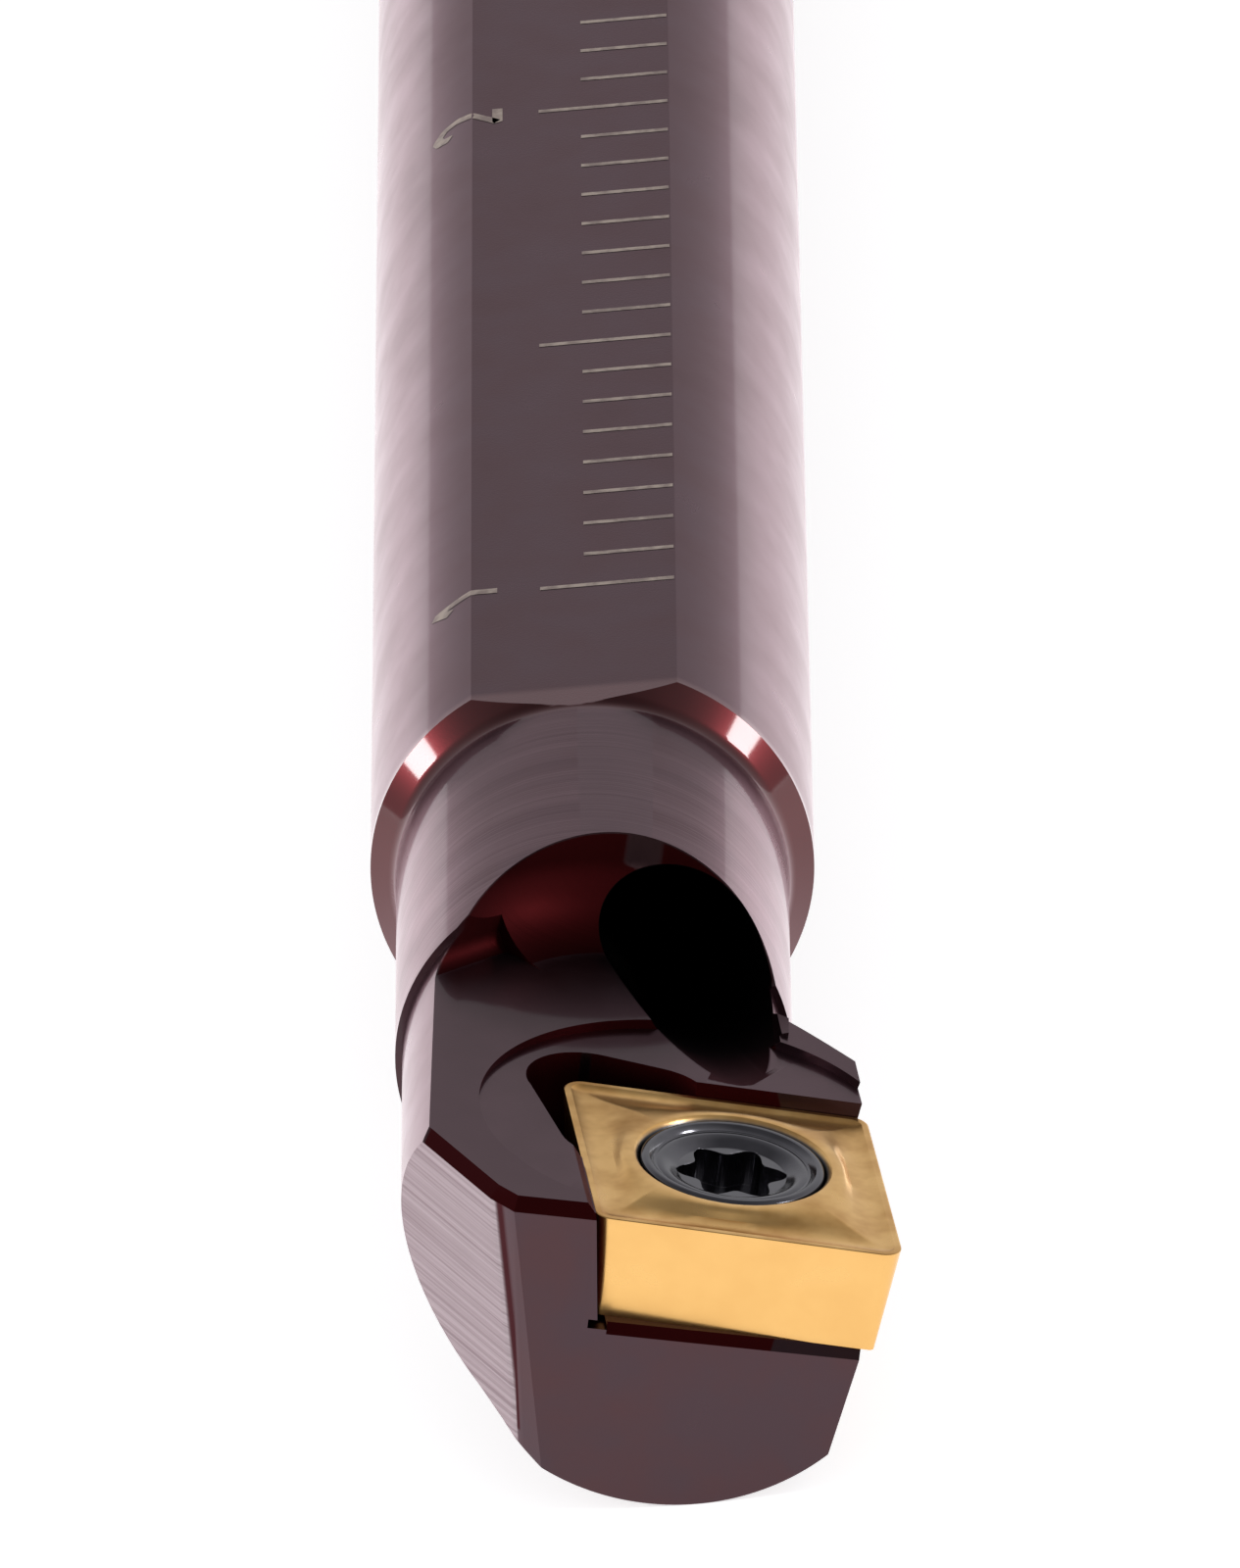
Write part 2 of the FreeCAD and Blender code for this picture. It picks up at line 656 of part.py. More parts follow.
def make_screw():
    """The clamp screw: a head with a short rim, a cone that follows the insert's
    countersink, and a plain shank."""
    screw = document.addObject("PartDesign::Body", "clamp_screw")
    screw.Label = "clamp_screw"
    top = insert_planes(screw)[1]
    spread = f"({cell('hole_countersink')} - {cell('insert_hole')}) / 2"
    rise = cell("island_rise")
    slope = f"({spread} / ({cell('countersink_depth')} + {rise}))"
    mouth = f"({cell('hole_countersink')} / 2 - {cell('screw_clearance')})"
    level = f"({rise} - {cell('screw_head_drop')})"
    head = f"{cell('screw_head')} / 2"
    shank = f"{cell('screw_diameter')} / 2"
    rim = f"{rise} - ({mouth} - {head}) / {slope}"
    neck = f"{rise} - ({mouth} - {shank}) / {slope}"
    tip = f"{level} - {cell('screw_length')}"
    chamfer = cell("screw_tip_chamfer")
    profile = sketch_on(screw, "screw_profile", top, mode="ObjectXZ",
                        at=(INSERT_CENTRE[0], 0, f"-{INSERT_CENTRE[1]}"))
    draw_outline(profile, [
        ("0", tip),
        (f"{shank} - {chamfer}", tip),
        (shank, f"{tip} + {chamfer}"),
        (shank, neck),
        (head, rim),
        (head, level),
        ("0", level),
    ])
    turned(screw, "Revolution", "screw_blank", profile)

    socket = sketch_on(screw, "socket_outline", top, at=(*INSERT_CENTRE, level))
    six_lobes(socket, cell("socket_radius"), cell("socket_waist"))
    pocket(screw, "socket", socket, cell("socket_depth"), forward=False)
    return screw


def six_lobes(sketch, outer, inner):
    """A six-lobe outline: round lobes out to one radius, hollows in to the other."""
    ring = f"(({outer} + {inner}) / 2)"
    half_chord = f"({ring} * sin(15))"
    bulge = f"({outer} - {ring} * cos(15))"
    hollow = f"({ring} * cos(15) - {inner})"
    lobe_arc = f"({half_chord} ^ 2 + {bulge} ^ 2) / (2 * {bulge})"
    hollow_arc = f"({half_chord} ^ 2 + {hollow} ^ 2) / (2 * {hollow})"
    steps = []
    for lobe in range(6):
        middle = lobe * 60
        before, after = middle - 15, middle + 15
        steps.append((f"{ring} * cos({before})", f"{ring} * sin({before})", hollow_arc, -1))
        steps.append((f"{ring} * cos({after})", f"{ring} * sin({after})", lobe_arc, 1))
    draw_outline(sketch, steps)


bodies = [make_bar(), make_insert(), make_screw()]
for body in bodies:
    body.setExpression("Placement.Base.y", f"{cell('rear_chamfer')} - {cell('overall_length')}")
document.recompute()

for item in document.Objects:
    if "Invalid" in item.State or "Error" in item.State:
        raise RuntimeError(f"{item.Name} failed")
for body in bodies:
    if body.Shape.isNull() or not body.Shape.isValid() or len(body.Shape.Solids) != 1:
        raise RuntimeError(f"{body.Label} is not one valid solid")

os.makedirs("parts", exist_ok=True)
for body in bodies:
    body.Shape.exportStep(f"parts/{body.Label}.step")
    box = body.Shape.BoundBox
    print(body.Label, round(body.Shape.Volume, 3), box)
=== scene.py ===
# %% [markdown]
# # A boring bar on a white table
#
# The object is a slim cutting tool for the inside of bores: a round steel
# shank with one graduated flat, a slimmer neck, and a head that carries a gold
# coloured insert held by one small screw. The measured solids come from the
# frame. This file makes the three pieces again with smoother curves, gives them
# their finishes, adds the marks of the scale and lights them. We start with the
# frame.

import math
import bmesh
import bpy
from mathutils import Matrix, Vector


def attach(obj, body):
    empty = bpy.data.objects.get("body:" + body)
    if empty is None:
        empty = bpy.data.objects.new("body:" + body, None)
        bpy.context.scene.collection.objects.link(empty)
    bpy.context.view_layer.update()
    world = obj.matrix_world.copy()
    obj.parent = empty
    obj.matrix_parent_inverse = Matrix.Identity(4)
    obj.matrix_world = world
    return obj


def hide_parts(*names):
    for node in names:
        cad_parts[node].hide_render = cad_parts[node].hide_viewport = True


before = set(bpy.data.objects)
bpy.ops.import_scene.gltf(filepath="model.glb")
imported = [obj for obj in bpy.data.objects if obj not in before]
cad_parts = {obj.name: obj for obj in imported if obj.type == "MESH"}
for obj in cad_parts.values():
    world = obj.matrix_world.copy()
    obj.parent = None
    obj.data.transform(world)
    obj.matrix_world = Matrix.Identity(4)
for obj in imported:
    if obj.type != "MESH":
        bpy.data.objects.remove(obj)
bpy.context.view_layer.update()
MM = 0.001

# %% [markdown]
# ## Small tools for materials
#
# A procedural material is a tree of nodes, and the calls that build one are
# long. A few helpers keep the later cells short. One adds a node and fills its
# inputs, where an input may be a number or the output of another node. The
# others do arithmetic, stretch a range, mix two colours, and make or place a
# group of nodes. We could click the trees together by hand instead, but a
# script can be read and run again.

# %% Helpers for node trees
def add(tree, kind, inputs=None, **settings):
    """Add a node, set its settings and fill or link its inputs."""
    node = tree.nodes.new(kind)
    for name, value in settings.items():
        setattr(node, name, value)
    for name, value in (inputs or {}).items():
        if isinstance(value, bpy.types.NodeSocket):
            tree.links.new(value, node.inputs[name])
        else:
            node.inputs[name].default_value = value
    return node


def calc(tree, operation, first, second=0.0, third=0.0, clamp=False):
    """One step of arithmetic; a value may be a number or a node's output."""
    inputs = {0: first, 1: second, 2: third}
    node = add(tree, "ShaderNodeMath", inputs, operation=operation, use_clamp=clamp)
    return node.outputs[0]


def vector(tree, operation, first, second):
    """One step of arithmetic on vectors; for SCALE the second value is a number."""
    place = "Scale" if operation == "SCALE" else 1
    node = add(tree, "ShaderNodeVectorMath", {0: first, place: second}, operation=operation)
    return node.outputs["Vector"]


def dot(tree, first, second):
    """How far a vector reaches along a direction."""
    node = add(tree, "ShaderNodeVectorMath", {0: first, 1: second}, operation="DOT_PRODUCT")
    return node.outputs["Value"]


def ramp(tree, value, low, high, start=0.0, end=1.0):
    """Turn the range low..high of a value into start..end, held at both ends."""
    inputs = {"Value": value, "From Min": low, "From Max": high, "To Min": start, "To Max": end}
    return add(tree, "ShaderNodeMapRange", inputs, clamp=True).outputs["Result"]


# A Mix node has sockets for every kind of data; these numbers are its colours.
MIX_INPUTS, MIX_OUTPUT = (6, 7), 2


def blend(tree, share, first, second):
    """Mix two colours; a colour may be fixed or a node's output."""
    inputs = {"Factor": share}
    for place, colour in zip(MIX_INPUTS, (first, second)):
        linked = isinstance(colour, bpy.types.NodeSocket)
        inputs[place] = colour if linked else (*colour, 1.0)
    return add(tree, "ShaderNodeMix", inputs, data_type="RGBA").outputs[MIX_OUTPUT]


def new_group(name, inputs, outputs):
    """A shader node group with named sockets, given as {name: (kind, value)}."""
    group = bpy.data.node_groups.new(name, "ShaderNodeTree")
    for socket, (kind, value) in inputs.items():
        made = group.interface.new_socket(socket, in_out="INPUT", socket_type=kind)
        if value is not None:
            made.default_value = value
    for socket, kind in outputs.items():
        group.interface.new_socket(socket, in_out="OUTPUT", socket_type=kind)
    return group, add(group, "NodeGroupInput").outputs, add(group, "NodeGroupOutput").inputs


def use(tree, group, inputs):
    """Place a node group in a tree and fill its inputs."""
    return add(tree, "ShaderNodeGroup", inputs, node_tree=group).outputs


print("helpers are ready")

# %% [markdown]
# ## Marks that a cutter leaves
#
# Turning leaves fine rings round the axis, and milling leaves fine lines beside
# each other. Both are the same thing: a height that changes quickly in one
# direction and hardly at all in the others. So one group serves the turned neck
# and the milled facet. It takes the direction in which the height changes, and
# gives a height for a Bump node and a slow mask for colour.

# %% Group: cutter marks
NUMBER, VECTOR = "NodeSocketFloat", "NodeSocketVector"
SLOWER = 0.13

cutter_marks, source, result = new_group(
    "cutter marks",
    {"Place": (VECTOR, None), "Across": (VECTOR, (0.0, 1.0, 0.0)), "Pitch": (NUMBER, 0.0001),
     "Waver": (NUMBER, 0.02)},
    {"Height": NUMBER, "Streaks": NUMBER},
)
reach = dot(cutter_marks, source["Place"], source["Across"])
count = calc(cutter_marks, "DIVIDE", reach, source["Pitch"])
drift = vector(cutter_marks, "SCALE", source["Place"], 1 / MM)
drift = vector(cutter_marks, "SCALE", drift, source["Waver"])
lines_place = add(cutter_marks, "ShaderNodeCombineXYZ", {"X": count}).outputs["Vector"]
lines_place = vector(cutter_marks, "ADD", lines_place, drift)
slow_place = vector(cutter_marks, "SCALE", lines_place, SLOWER)
for where, roughness, socket in ((lines_place, 0.6, "Height"), (slow_place, 0.5, "Streaks")):
    noise = add(cutter_marks, "ShaderNodeTexNoise",
                {"Vector": where, "Scale": 1.0, "Detail": 2.0, "Roughness": roughness})
    cutter_marks.links.new(noise.outputs["Fac"], result[socket])
print("group:", cutter_marks.name, "with", len(cutter_marks.nodes), "nodes")

# %% [markdown]
# ## Grain and handling
#
# No finish is perfectly even. A group of two noises gives a fine grain for the
# height and broad, soft clouds where the film of oil or the coating lies a
# little thicker. Every material uses it with its own size.

# %% Group: grain and clouds
grain, source, result = new_group(
    "grain and clouds",
    {"Place": (VECTOR, None), "Grain size": (NUMBER, 0.00005), "Cloud size": (NUMBER, 0.002)},
    {"Grain": NUMBER, "Clouds": NUMBER},
)
for size, socket, detail in (("Grain size", "Grain", 2.0), ("Cloud size", "Clouds", 3.0)):
    scale = calc(grain, "DIVIDE", 1.0, source[size])
    noise = add(grain, "ShaderNodeTexNoise",
                {"Vector": source["Place"], "Scale": scale, "Detail": detail, "Roughness": 0.55})
    grain.links.new(noise.outputs["Fac"], result[socket])
print("group:", grain.name, "with", len(grain.nodes), "nodes")

# %% [markdown]
# ## Zones of one solid
#
# The bar is a single piece, yet its faces were made in different ways: ground
# on the shank, turned on the neck, milled on the facet. We tell them apart by
# where a point lies and which way its face looks. Three small groups turn those
# into soft masks: a band along a direction, the faces that look one way, and
# whatever lies inside a round bar or hole. Painting vertex colours would also
# work, but masks from position stay sharp however coarse the mesh is.

# %% Group: a band along a direction
band_mask, source, result = new_group(
    "band mask",
    {"Place": (VECTOR, None), "Along": (VECTOR, (0.0, 1.0, 0.0)), "Start": (NUMBER, 0.0),
     "End": (NUMBER, 1.0), "Softness": (NUMBER, 0.0002)},
    {"Mask": NUMBER},
)
reach = dot(band_mask, source["Place"], source["Along"])
after = calc(band_mask, "DIVIDE", calc(band_mask, "SUBTRACT", reach, source["Start"]),
             source["Softness"], clamp=True)
before = calc(band_mask, "DIVIDE", calc(band_mask, "SUBTRACT", source["End"], reach),
              source["Softness"], clamp=True)
band_mask.links.new(calc(band_mask, "MULTIPLY", after, before), result["Mask"])
print("group:", band_mask.name)

# %% Group: faces that look one way
FACING_STEEPNESS = 400.0
facing_mask, source, result = new_group(
    "facing mask",
    {"Normal": (VECTOR, None), "Towards": (VECTOR, (0.0, 0.0, 1.0)), "Closeness": (NUMBER, 0.99)},
    {"Mask": NUMBER},
)
agree = dot(facing_mask, source["Normal"], source["Towards"])
over = calc(facing_mask, "SUBTRACT", agree, source["Closeness"])
facing_mask.links.new(calc(facing_mask, "MULTIPLY", over, FACING_STEEPNESS, clamp=True),
                      result["Mask"])
print("group:", facing_mask.name)

# %% Group: inside a round bar or hole
round_mask, source, result = new_group(
    "round mask",
    {"Place": (VECTOR, None), "Centre": (VECTOR, (0.0, 0.0, 0.0)),
     "Along": (VECTOR, (0.0, 1.0, 0.0)), "Radius": (NUMBER, 0.001), "Softness": (NUMBER, 0.00003)},
    {"Mask": NUMBER},
)
away = vector(round_mask, "SUBTRACT", source["Place"], source["Centre"])
away = vector(round_mask, "CROSS_PRODUCT", away, source["Along"])
away = add(round_mask, "ShaderNodeVectorMath", {0: away}, operation="LENGTH").outputs["Value"]
near = calc(round_mask, "DIVIDE", calc(round_mask, "SUBTRACT", source["Radius"], away),
            source["Softness"], clamp=True)
round_mask.links.new(near, result["Mask"])
print("group:", round_mask.name)

# %% [markdown]
# ## The bar's shape, turned and milled again
#
# The frame's solids are measured but coarse: their round edges are short straight
# pieces. On this tool every edge is a thin bright line and the outlines are
# round, so we make the same bar again with finer steps. We work as the shop
# does: turn a blank, then cut it with the same cutters in the same places.
# Sculpting would lose the true sizes, and smoothing the coarse mesh would
# soften the edges that have to stay crisp. The work is in millimetres, because
# the cuts are more exact on large numbers, and is scaled down at the end.

# %% Helpers: turned and straight shapes
def placed(parent, x, y, z, axis="Z", degrees=0.0):
    """A frame inside another one: moved to x, y, z and turned about an axis."""
    turn = Matrix.Rotation(math.radians(degrees), 4, axis)
    return parent @ Matrix.Translation((x, y, z)) @ turn


def shape(name, vertices, faces, where):
    """A closed mesh in millimetres, moved into a frame."""
    mesh = bpy.data.meshes.new(name)
    mesh.from_pydata(vertices, [], faces)
    mesh.transform(where)
    item = bpy.data.objects.new(name, mesh)
    bpy.context.scene.collection.objects.link(item)
    return item


def lathe(name, where, profile, around=192):
    """Turn a profile of (height, radius) about the frame's Z; both ends lie on the axis."""
    rings = profile[1:-1]
    vertices = [(0, 0, profile[0][0])]
    for height, radius in rings:
        for step in range(around):
            angle = 2 * math.pi * step / around
            vertices.append((radius * math.cos(angle), radius * math.sin(angle), height))
    vertices.append((0, 0, profile[-1][0]))
    top_ring = 1 + (len(rings) - 1) * around
    faces = []
    for step in range(around):
        after = (step + 1) % around
        faces.append((0, 1 + after, 1 + step))
        faces.append((top_ring + step, top_ring + after, len(vertices) - 1))
        for ring in range(len(rings) - 1):
            low = 1 + ring * around
            high = low + around
            faces.append((low + step, low + after, high + after, high + step))
    return shape(name, vertices, faces, where)


def prism(name, where, outline, low, high, low_outline=None):
    """A straight prism over an outline, or a tapered one with another outline below."""
    count = len(outline)
    vertices = [(x, y, low) for x, y in low_outline or outline]
    vertices += [(x, y, high) for x, y in outline]
    faces = [tuple(reversed(range(count))), tuple(range(count, 2 * count))]
    for step in range(count):
        after = (step + 1) % count
        faces.append((step, after, count + after, count + step))
    return shape(name, vertices, faces, where)


def arc(middle, radius, start, end, count=24):
    """Points along an arc between two angles in degrees."""
    angles = [math.radians(start + (end - start) * step / count) for step in range(count + 1)]
    return [(middle[0] + radius * math.cos(a), middle[1] + radius * math.sin(a)) for a in angles]


def combine(target, tool, operation="DIFFERENCE"):
    """Cut a tool away from the target, or join it, clean the seams and drop the tool."""
    change = target.modifiers.new("step", "BOOLEAN")
    change.operation, change.solver, change.object = operation, "EXACT", tool
    bpy.context.view_layer.update()
    evaluated = target.evaluated_get(bpy.context.evaluated_depsgraph_get())
    mesh = bpy.data.meshes.new_from_object(evaluated)
    target.modifiers.clear()
    target.data = mesh
    seams = bmesh.new()
    seams.from_mesh(mesh)
    bmesh.ops.remove_doubles(seams, verts=seams.verts, dist=0.003)
    bmesh.ops.dissolve_degenerate(seams, edges=seams.edges, dist=0.003)
    seams.to_mesh(mesh)
    seams.free()
    bpy.data.objects.remove(tool)


def tan(degrees):
    """The tangent of an angle in degrees."""
    return math.tan(math.radians(degrees))


def round_edges(item, width):
    """Round the sharp edges and keep flat faces flat."""
    rounding = item.modifiers.new("rounded edges", "BEVEL")
    rounding.width = width
    rounding.segments = 2
    rounding.limit_method = "ANGLE"
    rounding.angle_limit = math.radians(30)
    shading = item.modifiers.new("flat faces stay flat", "WEIGHTED_NORMAL")
    shading.keep_sharp = True


print("helpers for turning and milling are ready")

# %% Frames of the tip
# The tip's frame has the cutting corner at Y = 0, as in the bar's drawing.
# SLANT is how far the 80 degree insert is from square. PAST is how far a cutter
# starts outside the steel, and ABOVE is a height over all of it.
TIP_FRAME = Matrix.Identity(4)
LATHE_FRAME = Matrix(((1, 0, 0, 0), (0, 0, 1, 0), (0, -1, 0, 0), (0, 0, 0, 1)))
CORNER_OUT = 6.444
RAKE_ANGLE, LEAD_ANGLE, SLANT = 12, 3.67, 10
INSERT_TURN = SLANT - LEAD_ANGLE
RAKE_FRAME = placed(TIP_FRAME, CORNER_OUT, 0, 0, "Y", RAKE_ANGLE)
INSERT_FRAME = placed(RAKE_FRAME, 0, 0, 0, "Z", INSERT_TURN)
INSERT_SIDE_FRAME = placed(INSERT_FRAME, 0, 0, 0, "X", -90)
PAST, ABOVE = 3, 9
print("the insert is raked by", RAKE_ANGLE, "degrees")

# %% Turn the blank
SHANK, NECK, HEAD = 4.7625, 4.2, 4.05
LENGTH, SHOULDER_PLACE, HEAD_END, FRONT = 152.4, 20.07, 10.75, 0.2
FILLET, REAR_CHAMFER = 0.6, 0.8
foot = SHOULDER_PLACE - (SHANK - NECK) - FILLET * tan(22.5)
fillet = [(foot + FILLET * math.sin(math.radians(angle)),
           NECK + FILLET - FILLET * math.cos(math.radians(angle))) for angle in range(0, 46, 5)]
profile = [(FRONT, 0), (FRONT, HEAD), (HEAD_END, HEAD), (HEAD_END, NECK)] + fillet
profile += [(SHOULDER_PLACE, SHANK), (LENGTH - REAR_CHAMFER, SHANK),
            (LENGTH, SHANK - REAR_CHAMFER), (LENGTH, 0)]
bar = lathe("bar", LATHE_FRAME, profile)
print("blank with", len(bar.data.vertices), "vertices")

# %% Turn the head's lobe off centre and join it with a web
LOBE, LOBE_X, LOBE_DOWN, LOBE_END, LOBE_CONE = 4.91, 1.63, 0.5, 7.03, 53.5
cone_end = LOBE_END + LOBE * 0.75 * tan(LOBE_CONE)
lobe_profile = [(FRONT, 0), (FRONT, LOBE), (LOBE_END, LOBE), (cone_end, LOBE / 4), (cone_end, 0)]
combine(bar, lathe("lobe", placed(LATHE_FRAME, LOBE_X, LOBE_DOWN, 0), lobe_profile), "UNION")

WEB_INSET, WEB_END = 0.02, 6.3
bearing = math.atan2(LOBE_DOWN, LOBE_X) + math.acos((HEAD - LOBE) / math.hypot(LOBE_X, LOBE_DOWN))
inner, outer = HEAD - WEB_INSET, LOBE - WEB_INSET
web = [(0, 0), (LOBE_X, LOBE_DOWN),
       (LOBE_X + outer * math.cos(bearing), LOBE_DOWN + outer * math.sin(bearing)),
       (inner * math.cos(bearing), inner * math.sin(bearing))]
combine(bar, prism("web", LATHE_FRAME, web, FRONT, WEB_END), "UNION")
print("with its lobe:", len(bar.data.vertices), "vertices")

# %% Mill the long flat and the flank under the insert
FLAT_UP, FLAT_SIDE, FLAT_END = 4.216, 8, 156
flat = [(-FLAT_SIDE, SHOULDER_PLACE - PAST), (FLAT_SIDE, SHOULDER_PLACE - PAST),
        (FLAT_SIDE, FLAT_END), (-FLAT_SIDE, FLAT_END)]
combine(bar, prism("flat", TIP_FRAME, flat, FLAT_UP, ABOVE))

FLANK_LEAN, FLANK_IN, FLANK_DEEP, FLANK_END = 9.5, 0.17, 9.82, 11.94
lean = tan(FLANK_LEAN)
flank = [(-FLANK_IN - FLANK_DEEP * lean, FLANK_DEEP), (-FLANK_IN + PAST * lean, -PAST),
         (PAST, -PAST), (PAST, FLANK_DEEP)]
combine(bar, prism("flank", INSERT_SIDE_FRAME, flank, -PAST, FLANK_END))
print("after the flank:", len(bar.data.vertices), "vertices")

# %% Mill the gullet's end wall and its run-out
# SLIVER keeps the floors of two cutters out of one plane.
FLOOR_TILT, FLOOR_RAISED, TILT_PLACE, SLIVER = 1.5, 0.3, 1.0, 0.002
FLOOR_FRAME = placed(RAKE_FRAME, 0, TILT_PLACE, FLOOR_RAISED, "X", FLOOR_TILT)
WALL_X, WALL_Y, WALL_RADIUS, CORNER, GULLET_UP = -5.67, 7.9, 4.3, 1.6, 9.5
inner = WALL_RADIUS - CORNER
bull_nose = [(CORNER - CORNER * math.cos(math.radians(angle)),
              inner + CORNER * math.sin(math.radians(angle))) for angle in range(0, 91, 5)]
cutter = [(SLIVER, 0), (SLIVER, inner)] + bull_nose[1:]
cutter += [(GULLET_UP, WALL_RADIUS), (GULLET_UP, 0)]
combine(bar, lathe("gullet_end", placed(FLOOR_FRAME, WALL_X, WALL_Y, 0), cutter))

RUN_NEAR, RUN_FAR, RUN_ROUND, RUN_UP = -1.9, 4.05, 0.4, 9.4
RUN_START, RUN_END = 0.05, 12
RUN_FRAME = placed(placed(FLOOR_FRAME, WALL_X, WALL_Y, 0, "Z", 135), 0, 0, 0, "X", -90)
run_foot = arc((RUN_FAR - RUN_ROUND, -RUN_ROUND - SLIVER), RUN_ROUND, 0, 90, 8)
run_out = [(RUN_NEAR, -RUN_UP), (RUN_FAR, -RUN_UP)] + run_foot + [(RUN_NEAR, -SLIVER)]
combine(bar, prism("gullet_run_out", RUN_FRAME, run_out, RUN_START, RUN_END))
print("after the gullet's end:", len(bar.data.vertices), "vertices")

# %% Mill the gullet's floor and the spot face round the seat
FAR_LEFT, GULLET_LEFT, GULLET_END = -14.5, -2.4, 10.5
touch = (WALL_X - inner / math.sqrt(2), WALL_Y + inner / math.sqrt(2))
gullet = [(FAR_LEFT, -PAST), (PAST, -PAST), (PAST, GULLET_END), (GULLET_LEFT, GULLET_END),
          (GULLET_LEFT, WALL_Y), (WALL_X, WALL_Y), touch,
          (FAR_LEFT, touch[1] - touch[0] + FAR_LEFT)]
combine(bar, prism("gullet", FLOOR_FRAME, gullet, 0, GULLET_UP))

SPOT_X, SPOT_Y, SPOT_RADIUS = -4.54, 4.7, 4.4
spot = [(0, 0), (0, SPOT_RADIUS), (ABOVE, SPOT_RADIUS), (ABOVE, 0)]
combine(bar, lathe("spot_face", placed(RAKE_FRAME, SPOT_X, SPOT_Y, FLOOR_RAISED), spot))
print("after the gullet:", len(bar.data.vertices), "vertices")

# %% Mill the facet
STRIP = 0.69 / math.sqrt(2)
START = (-1.53, FRONT)
BEND = (START[0] - STRIP, START[1] + STRIP)
FACET_ANGLE, FACET_LEFT, FACET_DEEP = 58, -8.1, 10
facet_top = BEND[1] + (BEND[0] - FACET_LEFT) * tan(FACET_ANGLE)
facet = [(START[0] + 1, FRONT - 1), BEND, (FACET_LEFT, facet_top), (FACET_LEFT, -PAST),
         (START[0] + 1, -PAST)]
combine(bar, prism("facet", TIP_FRAME, facet, -FACET_DEEP, FACET_DEEP))

FLOOR_UP = FLOOR_FRAME.to_3x3() @ Vector((0, 0, 1))
FACET_OUT = Vector((-math.sin(math.radians(FACET_ANGLE)), -math.cos(math.radians(FACET_ANGLE)), 0))
print("after the facet:", len(bar.data.vertices), "vertices")

# %% Bevel the floor's front edges
BEVEL, OVERCUT = 0.26, 0.2


def bevel_edge(x, y, out, start, end):
    """Cut a small bevel along the edge where an upright face meets the gullet's floor."""
    base = FLOOR_FRAME.translation
    z = base.z - (FLOOR_UP.x * (x - base.x) + FLOOR_UP.y * (y - base.y)) / FLOOR_UP.z
    along = FLOOR_UP.cross(out).normalized()
    along *= math.copysign(1, along.x)
    inward = along.cross(FLOOR_UP)
    inward *= -math.copysign(BEVEL, inward.dot(out))
    down = along.cross(out)
    down *= -math.copysign(BEVEL, down.z)
    side = (inward - down).normalized()
    up = along.cross(side)
    where = Matrix.Translation((x, y, z)) @ Matrix((side, up, along)).transposed().to_4x4()
    corners = [inward + side * OVERCUT, down - side * OVERCUT, (inward + down) * -2]
    outline = [(corner.dot(side), corner.dot(up)) for corner in corners]
    (ax, ay), (bx, by), (cx, cy) = outline
    if (bx - ax) * (cy - ay) < (cx - ax) * (by - ay):
        outline.reverse()
    combine(bar, prism("bevel", where, outline, start, end))


bevel_edge(*START, Vector((0, -1, 0)), -0.4, 2.6)
bevel_edge(*BEND, Vector((-1, -1, 0)).normalized(), -1.2, 1.6)
bevel_edge(*BEND, FACET_OUT, -4.5, 0.5)
print("after the bevels:", len(bar.data.vertices), "vertices")

# %% Mill the insert's seat with its corner reliefs
CIRCLE, THICK, GAP, SEAT_TOP = 6.35, 2.38, 0.02, 0.6
CLEARANCE = tan(7)


def seat_outline(height):
    """The seat's outline, which opens upward like the insert's own flanks."""
    out = GAP + height * CLEARANCE
    left = -CIRCLE - out
    rear = (CIRCLE + out) / math.cos(math.radians(SLANT))
    return [(left, -PAST), (PAST, -PAST), (PAST, rear - PAST * tan(SLANT)),
            (left, rear - left * tan(SLANT))]


seat_floor, seat_rim = seat_outline(-THICK), seat_outline(SEAT_TOP)
combine(bar, prism("seat", INSERT_FRAME, seat_rim, -THICK, SEAT_TOP, seat_floor))
rhomb = CIRCLE * (1 + math.sin(math.radians(SLANT))) / math.cos(math.radians(SLANT))
RELIEF_X, RELIEF_Y, RELIEF_DEPTH = 0.44, 0.62, 0.08
corner = (-CIRCLE + RELIEF_X, rhomb - RELIEF_Y)
REAR_RELIEF, SIDE_RELIEF = (-21.6, 1.32, 1.3), (-80.1, 2.45, 1.29)
for heading, run, radius in (REAR_RELIEF, SIDE_RELIEF):
    slot = arc((0, 0), radius, 90, 270) + arc((run, 0), radius, -90, 90)
    where = placed(INSERT_FRAME, corner[0], corner[1], 0, "Z", heading)
    combine(bar, prism("relief", where, slot, -THICK - RELIEF_DEPTH * radius, SEAT_TOP))
print("after the seat:", len(bar.data.vertices), "vertices")

# %% Undercut the seat's foot, ease its lip and bevel its front edge
UNDERCUT_SIDE, UNDERCUT_TALL, LIP = 0.2, 0.1, 0.16
foot_x = -CIRCLE - GAP + THICK * CLEARANCE
undercut = [(foot_x - UNDERCUT_SIDE, THICK - UNDERCUT_TALL),
            (foot_x + UNDERCUT_SIDE, THICK - UNDERCUT_TALL),
            (foot_x + UNDERCUT_SIDE, THICK + UNDERCUT_TALL),
            (foot_x - UNDERCUT_SIDE, THICK + UNDERCUT_TALL)]
combine(bar, prism("undercut", INSERT_SIDE_FRAME, undercut, -PAST, corner[1]))

edge = -CIRCLE - GAP - FLOOR_RAISED * CLEARANCE
easing = [(edge - LIP - PAST, -FLOOR_RAISED - PAST), (edge + PAST, -FLOOR_RAISED - PAST),
          (edge + PAST, LIP - FLOOR_RAISED), (edge, LIP - FLOOR_RAISED)]
combine(bar, prism("seat_lip", INSERT_SIDE_FRAME, easing, -PAST, corner[1] - SIDE_RELIEF[1]))

